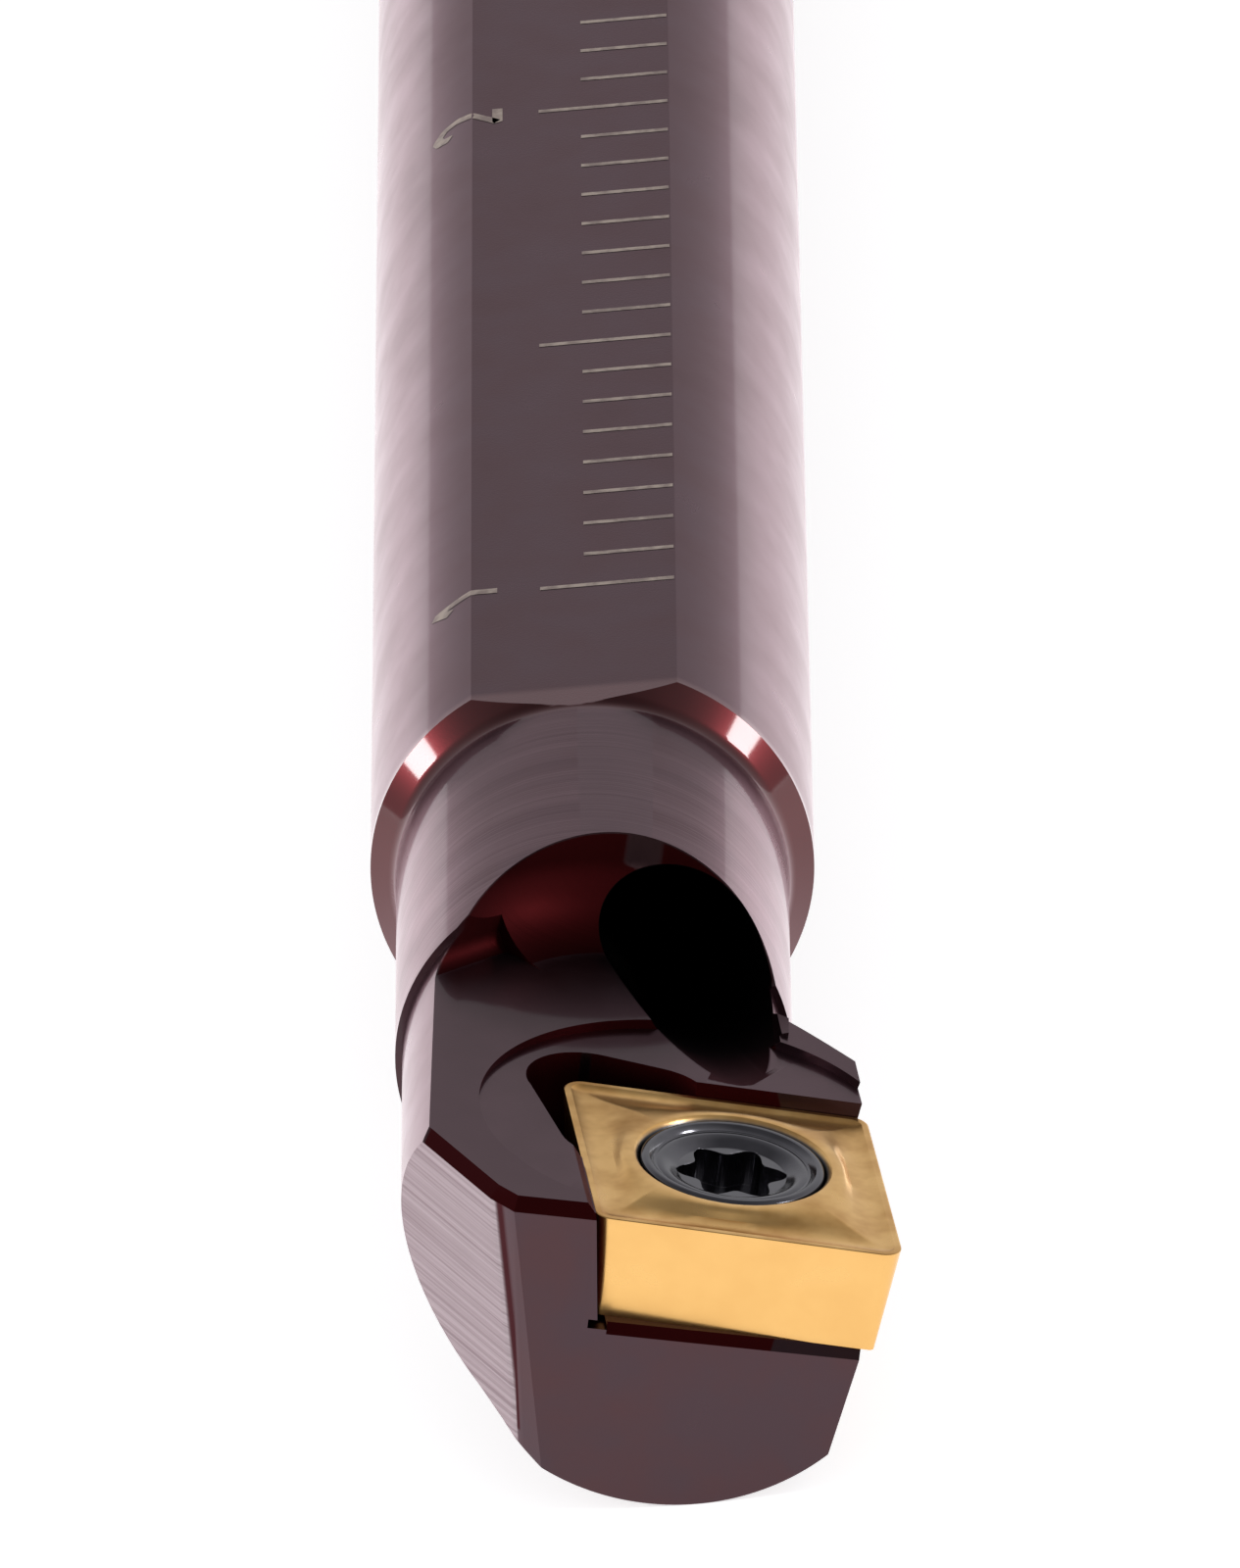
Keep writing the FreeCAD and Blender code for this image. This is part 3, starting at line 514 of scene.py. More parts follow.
SEAT_BEVEL, BEVEL_PLACE, SEAT_WIDE = 0.16, 0.4, 8
RAKE_SIDE_FRAME = RAKE_FRAME @ Matrix(((0, 0, 1, 0), (1, 0, 0, 0), (0, 1, 0, 0), (0, 0, 0, 1)))
turn = math.radians(INSERT_TURN)
start_x = (foot_x + UNDERCUT_SIDE - FRONT * math.sin(turn)) / math.cos(turn)
seat_bevel = [(BEVEL_PLACE - PAST, -THICK - PAST), (BEVEL_PLACE + SEAT_BEVEL, SEAT_BEVEL - THICK),
              (BEVEL_PLACE - PAST, SEAT_BEVEL - THICK)]
combine(bar, prism("seat_bevel", RAKE_SIDE_FRAME, seat_bevel, start_x, start_x + SEAT_WIDE))
print("after the seat's edges:", len(bar.data.vertices), "vertices")

# %% Drill the screw hole and the coolant holes
TAP_RADIUS, TAP_TOP, TAP_END = 1.25, -2.2, -11
hole = [(TAP_END, 0), (TAP_END, TAP_RADIUS), (TAP_TOP, TAP_RADIUS), (TAP_TOP, 0)]
hole_frame = placed(INSERT_FRAME, -CIRCLE / 2, rhomb / 2, 0)
combine(bar, lathe("screw_hole", hole_frame, hole, 64))

BORE_RADIUS, BORE_END, DRILL_POINT, MOUTH, CONE = 2, 21, 31, 0.5, 3.1
bore = [(BORE_END - BORE_RADIUS * tan(DRILL_POINT), 0), (BORE_END, BORE_RADIUS),
        (LENGTH - MOUTH, BORE_RADIUS), (LENGTH - MOUTH + CONE, BORE_RADIUS + CONE),
        (LENGTH - MOUTH + CONE, 0)]
combine(bar, lathe("bore", LATHE_FRAME, bore, 96))

JET_RADIUS, JET_LONG, JET_TURN, JET_DIP = 1.6, 13.5, 17, -8.2
JET_X, JET_UP, JET_BACK = 2.95, 2.24, -9
FRONT_FRAME = Matrix(((1, 0, 0, 0), (0, 0, -1, 0), (0, 1, 0, 0), (0, 0, 0, 1)))
jet_start = placed(FRONT_FRAME, JET_X, JET_UP, JET_BACK, "Y", JET_TURN)
jet_frame = placed(jet_start, 0, 0, 0, "X", JET_DIP)
jet = [(-JET_LONG, 0), (-JET_LONG, JET_RADIUS), (ABOVE, JET_RADIUS), (ABOVE, 0)]
combine(bar, lathe("jet", jet_frame, jet, 128))
print("after drilling:", len(bar.data.vertices), "vertices")

# %% [markdown]
# ## The insert and the screw, smoother
#
# The insert is pressed powder, so nothing on its top is sharp: behind the land
# a shallow groove runs round, and from there the top swells up to the hole's
# mouth. We build it as rings, from the underside over the edge and down the
# hole. Each ring is the rhombus moved inward and, nearer the hole, a circle.
# The screw is turned like the bar, with a rounded rim, a groove and a dish.

# %% Helpers: the insert's outlines
# A side of the insert is as long as its steps, and a corner is round.
MIDDLE = Vector((-CIRCLE / 2, rhomb / 2))
SIDES = (0, 80, 180, 260)
NOSE, LEAST_NOSE = 0.4, 0.06
NOSE_STEPS, SIDE_STEPS = 8, 16


def rhombus(inset):
    """Points of the rounded rhombus, moved inward."""
    radius = max(LEAST_NOSE, NOSE - inset)
    reach = CIRCLE / 2 - inset - radius
    arcs = []
    for first, second in zip(SIDES, SIDES[1:] + (360,)):
        half = math.radians((second - first) / 2)
        bearing = math.radians((first + second) / 2)
        corner_reach = reach / math.cos(half)
        bend = (MIDDLE.x + corner_reach * math.cos(bearing),
                MIDDLE.y + corner_reach * math.sin(bearing))
        arcs.append(arc(bend, radius, first, second, NOSE_STEPS))
    points = []
    for run, follower in zip(arcs, arcs[1:] + arcs[:1]):
        points += run
        (ax, ay), (bx, by) = run[-1], follower[0]
        points += [(ax + (bx - ax) * step / SIDE_STEPS, ay + (by - ay) * step / SIDE_STEPS)
                   for step in range(1, SIDE_STEPS)]
    return points


def towards_hole(inset, radius, share):
    """Points between a moved rhombus and a circle round the hole."""
    points = []
    for x, y in rhombus(inset):
        out = Vector((x, y)) - MIDDLE
        place = MIDDLE + out * (1 - share) + out.normalized() * radius * share
        points.append((place.x, place.y))
    return points


def rings_mesh(name, rings):
    """A closed band of faces through rings of (height, points), the last joined to the first."""
    count = len(rings[0][1])
    vertices = [(x, y, height) for height, points in rings for x, y in points]
    faces = []
    for ring in range(len(rings)):
        low = ring * count
        high = (ring + 1) % len(rings) * count
        for step in range(count):
            after = (step + 1) % count
            faces.append((low + step, low + after, high + after, high + step))
    return shape(name, vertices, faces, INSERT_FRAME)


print("helpers for the insert are ready")

# %% The insert as rings
HOLE_RADIUS, ISLAND, ISLAND_RADIUS = 1.4, 0.7, 2.3
rings = [(-THICK, towards_hole(0, HOLE_RADIUS, 1)), (-THICK, rhombus(THICK * CLEARANCE)),
         (-0.012, rhombus(0)), (0, rhombus(0.025)), (0, rhombus(0.14)), (-0.03, rhombus(0.2)),
         (-0.055, rhombus(0.34)), (-0.05, rhombus(0.5)), (-0.02, rhombus(ISLAND))]
rings += [(height, towards_hole(ISLAND, ISLAND_RADIUS, share))
          for height, share in ((0.03, 0.25), (0.09, 0.5), (0.14, 0.75), (0.165, 1))]
rings += [(height, towards_hole(ISLAND, radius, 1))
          for height, radius in ((0.178, 2.16), (0.172, 2.09), (0.15, 2.055), (0.12, 2.03),
                                 (-0.8, HOLE_RADIUS))]
insert = rings_mesh("insert", rings)
print("insert with", len(insert.data.vertices), "vertices")

# %% The screw, turned and broached
screw_profile = [(-5.52, 0), (-5.52, 0.92), (-5.22, 1.22), (-1.02, 1.22), (-0.8, 1.36),
                 (0.02, 1.925), (0.06, 1.94), (0.1, 1.925), (0.135, 1.88), (0.15, 1.82),
                 (0.14, 1.76), (0.09, 1.69), (0.03, 1.65), (0.02, 1.6), (0.04, 1.54),
                 (0.035, 1.45), (-0.03, 1.3), (-0.12, 1.15), (-0.12, 0)]
screw = lathe("screw", hole_frame, screw_profile)
SOCKET_RADIUS, SOCKET_WAVE, SOCKET_LOBES, SOCKET_DEEP, SOCKET_STEPS = 1.01, 0.16, 6, 0.9, 144
socket = []
for step in range(SOCKET_STEPS):
    angle = 2 * math.pi * step / SOCKET_STEPS
    radius = SOCKET_RADIUS + SOCKET_WAVE * math.cos(SOCKET_LOBES * angle)
    socket.append((radius * math.cos(angle), radius * math.sin(angle)))
combine(screw, prism("socket", hole_frame, socket, -SOCKET_DEEP, 1))
print("screw with", len(screw.data.vertices), "vertices")

# %% Round the edges a little and set the pieces in the frame
# The frame's origin lies TIP behind the cutting corner. An edge sharper than
# CREASE stays a crease in the shading.
TIP = 151.6 * MM
CREASE = 24
for piece, node, slot, width in ((bar, "bar_body", "bar_steel", 0.04),
                                 (insert, "cutting_insert", "coated_carbide", 0.0),
                                 (screw, "clamp_screw", "screw_steel", 0.05)):
    piece.data.transform(Matrix.Translation((0, -TIP, 0)) @ Matrix.Scale(MM, 4))
    for face in piece.data.polygons:
        face.use_smooth = True
    piece.data.set_sharp_from_angle(angle=math.radians(CREASE))
    if width:
        round_edges(piece, width * MM)
    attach(piece, "root")
    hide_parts(node)
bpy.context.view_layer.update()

# %% [markdown]
# ## The bar's finish
#
# The steel is under a dark coating, nearly black with some plum in it, and a
# thin film of oil lies on top. At a shallow angle it mirrors the white room.
# Inside the cuts a darker red is painted in as shade, with the red of light
# bouncing between the walls, and on the shoulder a brighter red is painted for
# light bouncing in its hollow. The facet keeps the grey lines of its cutter, and
# the coolant hole is painted black as shade. One plain colour would lose all
# that, and a painted texture would blur at the edges. So the shader is a dark
# metal with a thin clear coat, and masks from place and direction give each part
# of the surface its own colour and gloss.

# %% Places that the finish needs
SHOULDER = SHOULDER_PLACE * MM - TIP
NECK_FRONT = HEAD_END * MM - TIP
FLAT_HEIGHT = FLAT_UP * MM
SHANK_RADIUS = SHANK * MM
FACET_EDGE = FLOOR_UP.cross(FACET_OUT).normalized()
FACET_ACROSS = tuple(FACET_OUT.cross(FACET_EDGE))
JET_PLACE = tuple(jet_frame.translation * MM - Vector((0, TIP, 0)))
JET_ALONG = tuple(jet_frame.to_3x3() @ Vector((0, 0, 1)))
HOLE_PLACE = tuple(hole_frame.translation * MM - Vector((0, TIP, 0)))
HOLE_ALONG = tuple(hole_frame.to_3x3() @ Vector((0, 0, 1)))
print("shoulder at", round(SHOULDER / MM, 2), "mm and neck ends at", round(NECK_FRONT / MM, 2))


# %% Helper: a new material
def start_material(name):
    """A material with its shader, and the place and normal of the surface."""
    material = bpy.data.materials.new(name)
    material.use_nodes = True
    tree = material.node_tree
    tree.nodes.clear()
    shader = add(tree, "ShaderNodeBsdfPrincipled")
    ending = add(tree, "ShaderNodeOutputMaterial")
    tree.links.new(shader.outputs["BSDF"], ending.inputs["Surface"])
    place = add(tree, "ShaderNodeTexCoord").outputs["Object"]
    normal = add(tree, "ShaderNodeNewGeometry").outputs["Normal"]
    return material, tree, shader, place, normal


print("helper for materials is ready")

# %% Material: deep red coated steel, its marks and bands
bar_steel, tree, shader, place, normal = start_material("deep red coated steel")
ALONG_BAR = (0.0, 1.0, 0.0)
LINE_PITCH = 0.11 * MM
turned = use(tree, cutter_marks, {"Place": place, "Across": ALONG_BAR,
                                  "Pitch": LINE_PITCH, "Waver": 0.12})
milled = use(tree, cutter_marks, {"Place": place, "Across": FACET_ACROSS,
                                  "Pitch": LINE_PITCH, "Waver": 0.04})
surface = use(tree, grain, {"Place": place, "Grain size": 0.05 * MM, "Cloud size": 2.2 * MM})


def in_band(start, end, softness):
    """Where the steel lies between two places along the bar."""
    inputs = {"Place": place, "Along": ALONG_BAR, "Start": start, "End": end, "Softness": softness}
    return use(tree, band_mask, inputs)["Mask"]


NECK_BACK = SHOULDER - 0.9 * MM
RED_FROM, RED_TO = SHOULDER - 0.95 * MM, SHOULDER + 0.3 * MM
on_neck = in_band(NECK_FRONT, NECK_BACK, 0.2 * MM)
on_shoulder = in_band(RED_FROM, RED_TO, 0.25 * MM)
print("the neck is", round((SHOULDER - NECK_FRONT) / MM, 2), "mm long")


# %% Where the steel is flat, cut or drilled
def facing(towards, closeness=0.995):
    """Where the steel looks one way."""
    inputs = {"Normal": normal, "Towards": tuple(towards), "Closeness": closeness}
    return use(tree, facing_mask, inputs)["Mask"]


def inside(radius):
    """Where the steel lies nearer the bar's axis than a radius."""
    inputs = {"Place": place, "Along": ALONG_BAR, "Radius": radius, "Softness": 0.03 * MM}
    return use(tree, round_mask, inputs)["Mask"]


def either(first, second):
    """The stronger of two masks."""
    return calc(tree, "MAXIMUM", first, second)


def times(first, second):
    """A mask or value weakened by another."""
    return calc(tree, "MULTIPLY", first, second)


on_facet = facing(FACET_OUT)
on_flat = facing((0.0, 0.0, 1.0))
on_floor = facing(FLOOR_UP, 0.98)
plain = either(on_floor, facing((0.0, -1.0, 0.0)))
plain = either(plain, facing((0.0, 1.0, 0.0)))
plain = either(plain, either(on_facet, on_flat))
plain = either(plain, facing((-math.sqrt(0.5), -math.sqrt(0.5), 0.0)))

SKIN = 0.02
within = either(inside((HEAD - SKIN) * MM), times(on_neck, inside((NECK - SKIN) * MM)))
in_cuts = times(within, calc(tree, "SUBTRACT", 1.0, plain))
# Deep in the coolant hole the steel is painted black as shade, fading in from DARK_FROM to
# DARK_FULL behind the mouth.
DARK_FROM, DARK_FULL = 6.5 * MM - TIP, 9 * MM - TIP
in_hole = use(tree, round_mask, {"Place": place, "Centre": JET_PLACE, "Along": JET_ALONG,
                                 "Radius": (JET_RADIUS + SKIN) * MM, "Softness": 0.01 * MM})["Mask"]
behind_mouth = ramp(tree, dot(tree, place, ALONG_BAR), DARK_FROM, DARK_FULL)
in_hole = times(times(in_hole, within), behind_mouth)
print("masks so far:", len(tree.nodes), "nodes")

# %% The coated steel's colour
PLUM, WARM_PLUM = (0.036, 0.018, 0.023), (0.042, 0.017, 0.02)
RING_PLUM, FLOOR_PLUM = (0.09, 0.055, 0.062), (0.062, 0.038, 0.044)
LINE_GREY = (0.28, 0.245, 0.255)
# The shoulder's brighter red is painted light bouncing in its hollow, and the cuts' darker red is
# painted shade on their walls.
SHOULDER_BOUNCE_RED, CUT_SHADE_RED = (0.06, 0.005, 0.006), (0.03, 0.003, 0.0035)
# The coolant hole's black is painted shade.
HOLE_SHADE_BLACK = (0.001, 0.001, 0.001)
colour = blend(tree, ramp(tree, surface["Clouds"], 0.38, 0.62), PLUM, WARM_PLUM)
streaks = times(on_neck, ramp(tree, turned["Streaks"], 0.35, 0.65, 0.1, 0.75))
colour = blend(tree, streaks, colour, RING_PLUM)
colour = blend(tree, on_floor, colour, FLOOR_PLUM)
lines = times(on_facet, ramp(tree, milled["Height"], 0.35, 0.6, 0.55, 1.0))
colour = blend(tree, lines, colour, LINE_GREY)
# Painted light: the red of light bouncing in the shoulder's hollow.
colour = blend(tree, times(on_shoulder, 0.85), colour, SHOULDER_BOUNCE_RED)
colour = blend(tree, in_cuts, colour, CUT_SHADE_RED)
colour = blend(tree, in_hole, colour, HOLE_SHADE_BLACK)
tree.links.new(colour, shader.inputs["Base Color"])
shader.inputs["Metallic"].default_value = 1.0
shader.inputs["Specular Tint"].default_value = (1.0, 0.8, 0.86, 1.0)
print("colour made with", len(tree.nodes), "nodes so far")

# %% The coated steel's gloss
COAT, SHOULDER_COAT = 0.3, 0.4
rough = ramp(tree, surface["Clouds"], 0.3, 0.7, 0.27, 0.36)
rough = calc(tree, "ADD", rough, times(on_facet, 0.06))
rough = calc(tree, "ADD", rough, times(in_cuts, 0.2))
tree.links.new(rough, shader.inputs["Roughness"])
bare = either(either(on_facet, in_hole), in_cuts)
coat = calc(tree, "SUBTRACT", COAT, times(bare, COAT))
coat = calc(tree, "ADD", coat, times(on_shoulder, SHOULDER_COAT))
tree.links.new(coat, shader.inputs["Coat Weight"])
shader.inputs["Coat Roughness"].default_value = 0.07
shader.inputs["Coat IOR"].default_value = 1.5
print("coat of", COAT, "on the steel")


# %% The coated steel's fine relief
def add_bump(tree, shader, height, strength, depth):
    """Let a height tilt the surface a little."""
    bump = add(tree, "ShaderNodeBump", {"Strength": strength, "Distance": depth, "Height": height})
    tree.links.new(bump.outputs["Normal"], shader.inputs["Normal"])


height = times(surface["Grain"], calc(tree, "ADD", 0.12, times(on_flat, 0.2)))
height = calc(tree, "ADD", height, times(times(turned["Height"], on_neck), 0.8))
height = calc(tree, "ADD", height, times(times(milled["Height"], on_facet), 2.5))
add_bump(tree, shader, height, 0.6, 0.012 * MM)
print("material:", bar_steel.name, "with", len(tree.nodes), "nodes")

# %% [markdown]
# ## The insert's finish
#
# The insert is pressed carbide with a gold coloured hard coating. Its flanks
# are painted a darker gold than its top, as painted shade, and the top has soft
# patches of darker amber. The cone of its hole is painted dark grey, as painted
# shade with a painted reflection of the dark screw. The clouds of the shared
# group make the patches, and a mask of the faces that look up tells the top
# from the flanks.

# %% Helper: grain and gloss
def add_grain(tree, shader, surface, rough_from, rough_to, strength, depth):
    """Give a surface its uneven gloss and its fine grain."""
    rough = ramp(tree, surface["Clouds"], 0.3, 0.7, rough_from, rough_to)
    tree.links.new(rough, shader.inputs["Roughness"])
    add_bump(tree, shader, surface["Grain"], strength, depth)


print("helper for grain is ready")

# %% Material: gold coating
gold, tree, shader, place, normal = start_material("gold hard coating")
surface = use(tree, grain, {"Place": place, "Grain size": 0.04 * MM, "Cloud size": 1.1 * MM})
# The flanks' gold is painted darker than the top's, as painted shade.
SHADED_SIDE_GOLD, SHADED_SIDE_DARKER = (0.54, 0.32, 0.112), (0.51, 0.29, 0.096)
TOP_GOLD, AMBER, MOUTH_SHADE_GREY = (0.86, 0.53, 0.2), (0.62, 0.33, 0.1), (0.07, 0.07, 0.075)
RAKE_UP = tuple(RAKE_FRAME.to_3x3() @ Vector((0, 0, 1)))
on_top = use(tree, facing_mask, {"Normal": normal, "Towards": RAKE_UP, "Closeness": 0.6})["Mask"]
side = blend(tree, ramp(tree, surface["Clouds"], 0.35, 0.65, 0.0, 0.5), SHADED_SIDE_GOLD, SHADED_SIDE_DARKER)
top = blend(tree, ramp(tree, surface["Clouds"], 0.42, 0.7, 0.0, 1.0), TOP_GOLD, AMBER)
# The cone of the hole is painted dark grey: painted shade and a painted reflection of the dark
# screw.
in_mouth = use(tree, round_mask, {"Place": place, "Centre": HOLE_PLACE, "Along": HOLE_ALONG,
                                  "Radius": 2.06 * MM, "Softness": 0.06 * MM})["Mask"]
colour = blend(tree, in_mouth, blend(tree, on_top, side, top), MOUTH_SHADE_GREY)
tree.links.new(colour, shader.inputs["Base Color"])
shader.inputs["Metallic"].default_value = 1.0
add_grain(tree, shader, surface, 0.26, 0.34, 0.3, 0.004 * MM)
print("material:", gold.name, "with", len(tree.nodes), "nodes")

# %% [markdown]
# ## The screw's finish
#
# The screw is dark hardened steel with a trace of oil. It is smooth, so the
# lamps show as small white spots on its rounded edges.

# %% Material: dark steel
dark_steel, tree, shader, place, normal = start_material("dark oiled steel")
surface = use(tree, grain, {"Place": place, "Grain size": 0.05 * MM, "Cloud size": 0.6 * MM})
DARK_STEEL, PALE_STEEL = (0.09, 0.09, 0.1), (0.15, 0.145, 0.16)
colour = blend(tree, surface["Clouds"], DARK_STEEL, PALE_STEEL)
tree.links.new(colour, shader.inputs["Base Color"])
shader.inputs["Metallic"].default_value = 1.0
add_grain(tree, shader, surface, 0.12, 0.2, 0.2, 0.003 * MM)
print("material:", dark_steel.name, "with", len(tree.nodes), "nodes")

# %% Give the three pieces their finishes
for piece, material in ((bar, bar_steel), (insert, gold), (screw, dark_steel)):
    piece.data.materials.append(material)
    print(piece.name, "has", len(piece.data.vertices), "vertices and wears", material.name)

# %% [markdown]
# ## The scale on the flat
#
# A fine light scale is marked along the flat: a short line each sixteenth of an
# inch, a long one each half inch and a figure each inch, counted from the
# cutting corner. The lines could be painted by a texture, but real ribbons a
# few microns proud stay sharp in any export. Each ribbon is laid on the steel,
# and the figures run over the flat's edge onto the round, as on the real bar.

# %% Helpers: ribbons laid on the shank
PROUD = 0.008 * MM


def shank_top(x):
    """Height of the shank over a place across it: the flat, or the round beside it."""
    if abs(x) >= SHANK_RADIUS:
        return 0.0
    return min(FLAT_HEIGHT, math.sqrt(SHANK_RADIUS ** 2 - x ** 2))


def ribbon(points, width, step):
    """Vertices and faces of a flat ribbon along a line of (x, y) points."""
    places = []
    for (ax, ay), (bx, by) in zip(points, points[1:]):
        length = math.hypot(bx - ax, by - ay)
        count = max(1, math.ceil(length / step))
        for index in range(count + 1):
            share = index / count
            places.append((ax + (bx - ax) * share, ay + (by - ay) * share,
                           (by - ay) / length, (ax - bx) / length))
    vertices, faces = [], []
    for x, y, nx, ny in places:
        for side in (-0.5, 0.5):
            px, py = x + nx * side * width, y + ny * side * width
            vertices.append((px, py, shank_top(px) + PROUD))
    for index in range(len(places) - 1):
        first = index * 2
        faces.append((first, first + 1, first + 3, first + 2))
    return vertices, faces


def ribbons_object(name, lines, width, step, material):
    """One mesh of many ribbons."""
    vertices, faces = [], []
    for points in lines:
        more, quads = ribbon(points, width, step)
        faces += [tuple(corner + len(vertices) for corner in quad) for quad in quads]
        vertices += more
    mesh = bpy.data.meshes.new(name)
    mesh.from_pydata(vertices, [], faces)
    mesh.materials.append(material)
    piece = bpy.data.objects.new(name, mesh)
    bpy.context.scene.collection.objects.link(piece)
    print(name, "has", len(faces), "faces")
    return piece


print("helpers for ribbons are ready")

# %% Material: marked steel
marked, tree, shader, place, normal = start_material("light marking")
surface = use(tree, grain, {"Place": place, "Grain size": 0.05 * MM, "Cloud size": 0.35 * MM})
WORN_MARK, PALE_MARK = (0.24, 0.18, 0.16), (0.43, 0.35, 0.3)
colour = blend(tree, ramp(tree, surface["Clouds"], 0.38, 0.6), WORN_MARK, PALE_MARK)
tree.links.new(colour, shader.inputs["Base Color"])
shader.inputs["Metallic"].default_value = 0.3
add_grain(tree, shader, surface, 0.45, 0.6, 0.3, 0.004 * MM)
print("material:", marked.name)

# %% The lines of the scale
INCH = 25.4 * MM
LAST_INCH, PER_INCH = 5, 16
RIGHT_END = 2.18 * MM
SHORT, LONG = 1.95 * MM, 2.9 * MM
LINE_WIDTH = 0.16 * MM
lines = []
for sixteenth in range(PER_INCH, PER_INCH * LAST_INCH + 1):
    y = sixteenth * INCH / PER_INCH - TIP
    length = LONG if sixteenth % (PER_INCH // 2) == 0 else SHORT
    lines.append([(RIGHT_END, y), (RIGHT_END - length, y)])
scale_lines = ribbons_object("scale_lines", lines, LINE_WIDTH, 0.5 * MM, marked)
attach(scale_lines, "root")

# %% The figures of the scale
# A figure is drawn in its own frame: across to its right and up to its top.
FIGURES = {
    "1": [[(0.15, 0.75), (0.5, 1.0), (0.5, 0.0)]],
    "2": [[(0.05, 0.78), (0.2, 0.95), (0.45, 1.0), (0.68, 0.88), (0.7, 0.66), (0.5, 0.4),
           (0.05, 0.0), (0.75, 0.0)]],
    "3": [[(0.08, 0.9), (0.35, 1.0), (0.65, 0.88), (0.62, 0.62), (0.35, 0.53), (0.68, 0.42),
           (0.72, 0.15), (0.4, 0.0), (0.05, 0.12)]],
    "4": [[(0.52, 0.0), (0.52, 1.0), (0.02, 0.3), (0.75, 0.3)]],
    "5": [[(0.68, 1.0), (0.15, 1.0), (0.1, 0.58), (0.4, 0.64), (0.7, 0.48), (0.7, 0.16),
           (0.4, 0.0), (0.05, 0.1)]],
}
FIGURE_TALL, FIGURE_WIDE, STROKE = 1.4 * MM, 1.0 * MM, 0.23 * MM
FIGURE_TOP, FIGURE_MIDDLE = -3.05 * MM, 0.4
strokes = []
for inch, figure in enumerate("12345", start=1):
    middle = inch * INCH - TIP
    for stroke in FIGURES[figure]:
        strokes.append([(FIGURE_TOP + (1 - up) * FIGURE_TALL,
                         middle + (across - FIGURE_MIDDLE) * FIGURE_WIDE) for across, up in stroke])
scale_figures = ribbons_object("scale_figures", strokes, STROKE, 0.12 * MM, marked)
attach(scale_figures, "root")

# %% [markdown]
# ## Table, light and camera
#
# The real tool was shot over a bright white table with soft lamps. A wide
# plain floor stands in for the table. Its paper glows faintly for the camera
# and in mirrors, so that the background is white and no more light has to fall
# on the tool. The room is pale at the sides and darker above, and two lamps
# stand left and right of the head, so the coating shows broad soft bands.

# %% Material: white paper
paper, tree, shader, place, normal = start_material("white paper")
surface = use(tree, grain, {"Place": place, "Grain size": 2 * MM, "Cloud size": 60 * MM})
SEEN_GLOW, MIRRORED_GLOW = 0.6, 1.25
colour = blend(tree, surface["Clouds"], (0.93, 0.93, 0.93), (0.95, 0.95, 0.95))
tree.links.new(colour, shader.inputs["Base Color"])
shader.inputs["Roughness"].default_value = 0.9
path = add(tree, "ShaderNodeLightPath")
glow = calc(tree, "MAXIMUM", calc(tree, "MULTIPLY", path.outputs["Is Camera Ray"], SEEN_GLOW),
            calc(tree, "MULTIPLY", path.outputs["Is Glossy Ray"], MIRRORED_GLOW))
tree.links.new(glow, shader.inputs["Emission Strength"])
shader.inputs["Emission Color"].default_value = (1.0, 1.0, 1.0, 1.0)
print("material:", paper.name)

# %% Floor
FLOOR_LEVEL, FLOOR_REACH = -5.42 * MM, 4.0
mesh = bpy.data.meshes.new("floor")
corners = [(x * FLOOR_REACH, y * FLOOR_REACH, FLOOR_LEVEL)
           for x, y in ((-1, -1), (1, -1), (1, 1), (-1, 1))]
mesh.from_pydata(corners, [], [(0, 1, 2, 3)])
mesh.materials.append(paper)
floor = bpy.data.objects.new("floor", mesh)
bpy.context.scene.collection.objects.link(floor)
print("floor at", round(FLOOR_LEVEL / MM, 2), "mm")

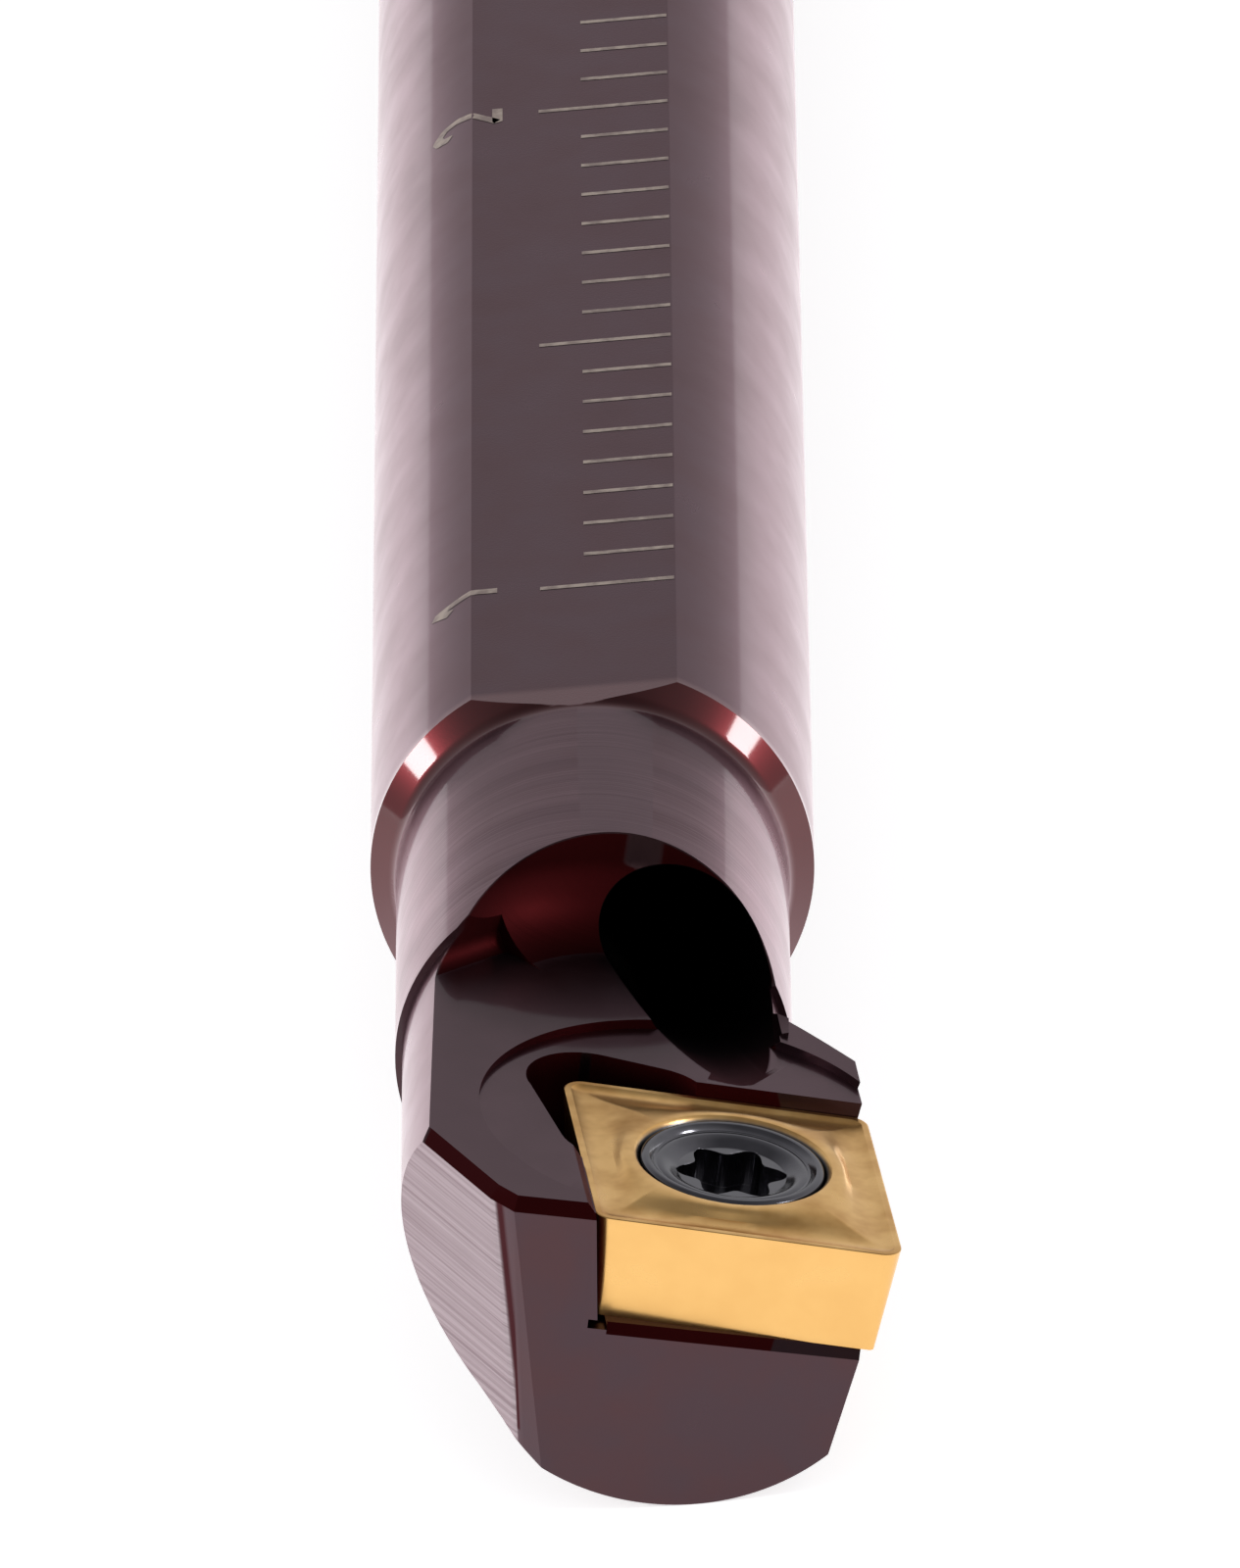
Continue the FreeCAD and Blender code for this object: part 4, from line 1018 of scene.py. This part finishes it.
# %% World
ROOM_GREY, CEILING_GREY = (0.72, 0.72, 0.73), (0.22, 0.22, 0.23)
world = bpy.data.worlds.new("studio")
bpy.context.scene.world = world
world.use_nodes = True
tree = world.node_tree
tree.nodes.clear()
way = add(tree, "ShaderNodeTexCoord").outputs["Generated"]
above = ramp(tree, dot(tree, way, (0.0, 0.0, 1.0)), 0.5, 0.9)
sky = blend(tree, above, ROOM_GREY, CEILING_GREY)
background = add(tree, "ShaderNodeBackground", {"Color": sky, "Strength": 1.0})
ending = add(tree, "ShaderNodeOutputWorld")
tree.links.new(background.outputs["Background"], ending.inputs["Surface"])
print("world is a pale grey room with a darker ceiling")


# %% Lamps
HEAD_PLACE = (0.0, -0.13, 0.0)
LAMP_SIDE, LAMP_FRONT, LAMP_UP = 0.6, -0.3, 0.23
LAMP_WIDE, LAMP_TALL, LAMP_POWER = 0.15, 0.12, 1.6


def softbox(name, side):
    """A rectangular lamp to one side of the tool, turned towards the head."""
    lamp = bpy.data.lights.new(name, "AREA")
    lamp.shape = "RECTANGLE"
    lamp.size, lamp.size_y = LAMP_WIDE, LAMP_TALL
    lamp.energy = LAMP_POWER
    holder = bpy.data.objects.new(name, lamp)
    holder.location = (side * LAMP_SIDE, LAMP_FRONT, LAMP_UP)
    way = Vector(HEAD_PLACE) - holder.location
    holder.rotation_mode = "QUATERNION"
    holder.rotation_quaternion = way.to_track_quat("-Z", "Y")
    holder.visible_camera = False
    bpy.context.scene.collection.objects.link(holder)


softbox("lamp_left", -1)
softbox("lamp_right", 1)
print("two lamps")

# %% Camera
# The camera's axes, its place and its long lens were fitted to the insert's
# corners and the marks of the scale, so that the view is the photograph's.
AXES = ((0.99569, -0.004, -0.09267), (0.08547, 0.42773, 0.89986), (0.03603, -0.9039, 0.42623))
CAMERA_PLACE = (21.6 * MM, -653.92 * MM, 248.26 * MM)
LENS = 619.19
view = bpy.data.cameras.new("camera")
view.sensor_fit = "AUTO"
view.sensor_width = 36.0
view.lens = LENS
view.clip_start, view.clip_end = 0.05, 20.0
view.dof.use_dof = False
camera = bpy.data.objects.new("camera", view)
turn = Matrix(AXES).transposed().to_4x4()
camera.matrix_world = Matrix.Translation(CAMERA_PLACE) @ turn
bpy.context.scene.collection.objects.link(camera)
bpy.context.scene.camera = camera
bpy.context.scene.view_settings.view_transform = "Standard"
print("camera", [round(v / MM, 1) for v in camera.location], "lens", view.lens)
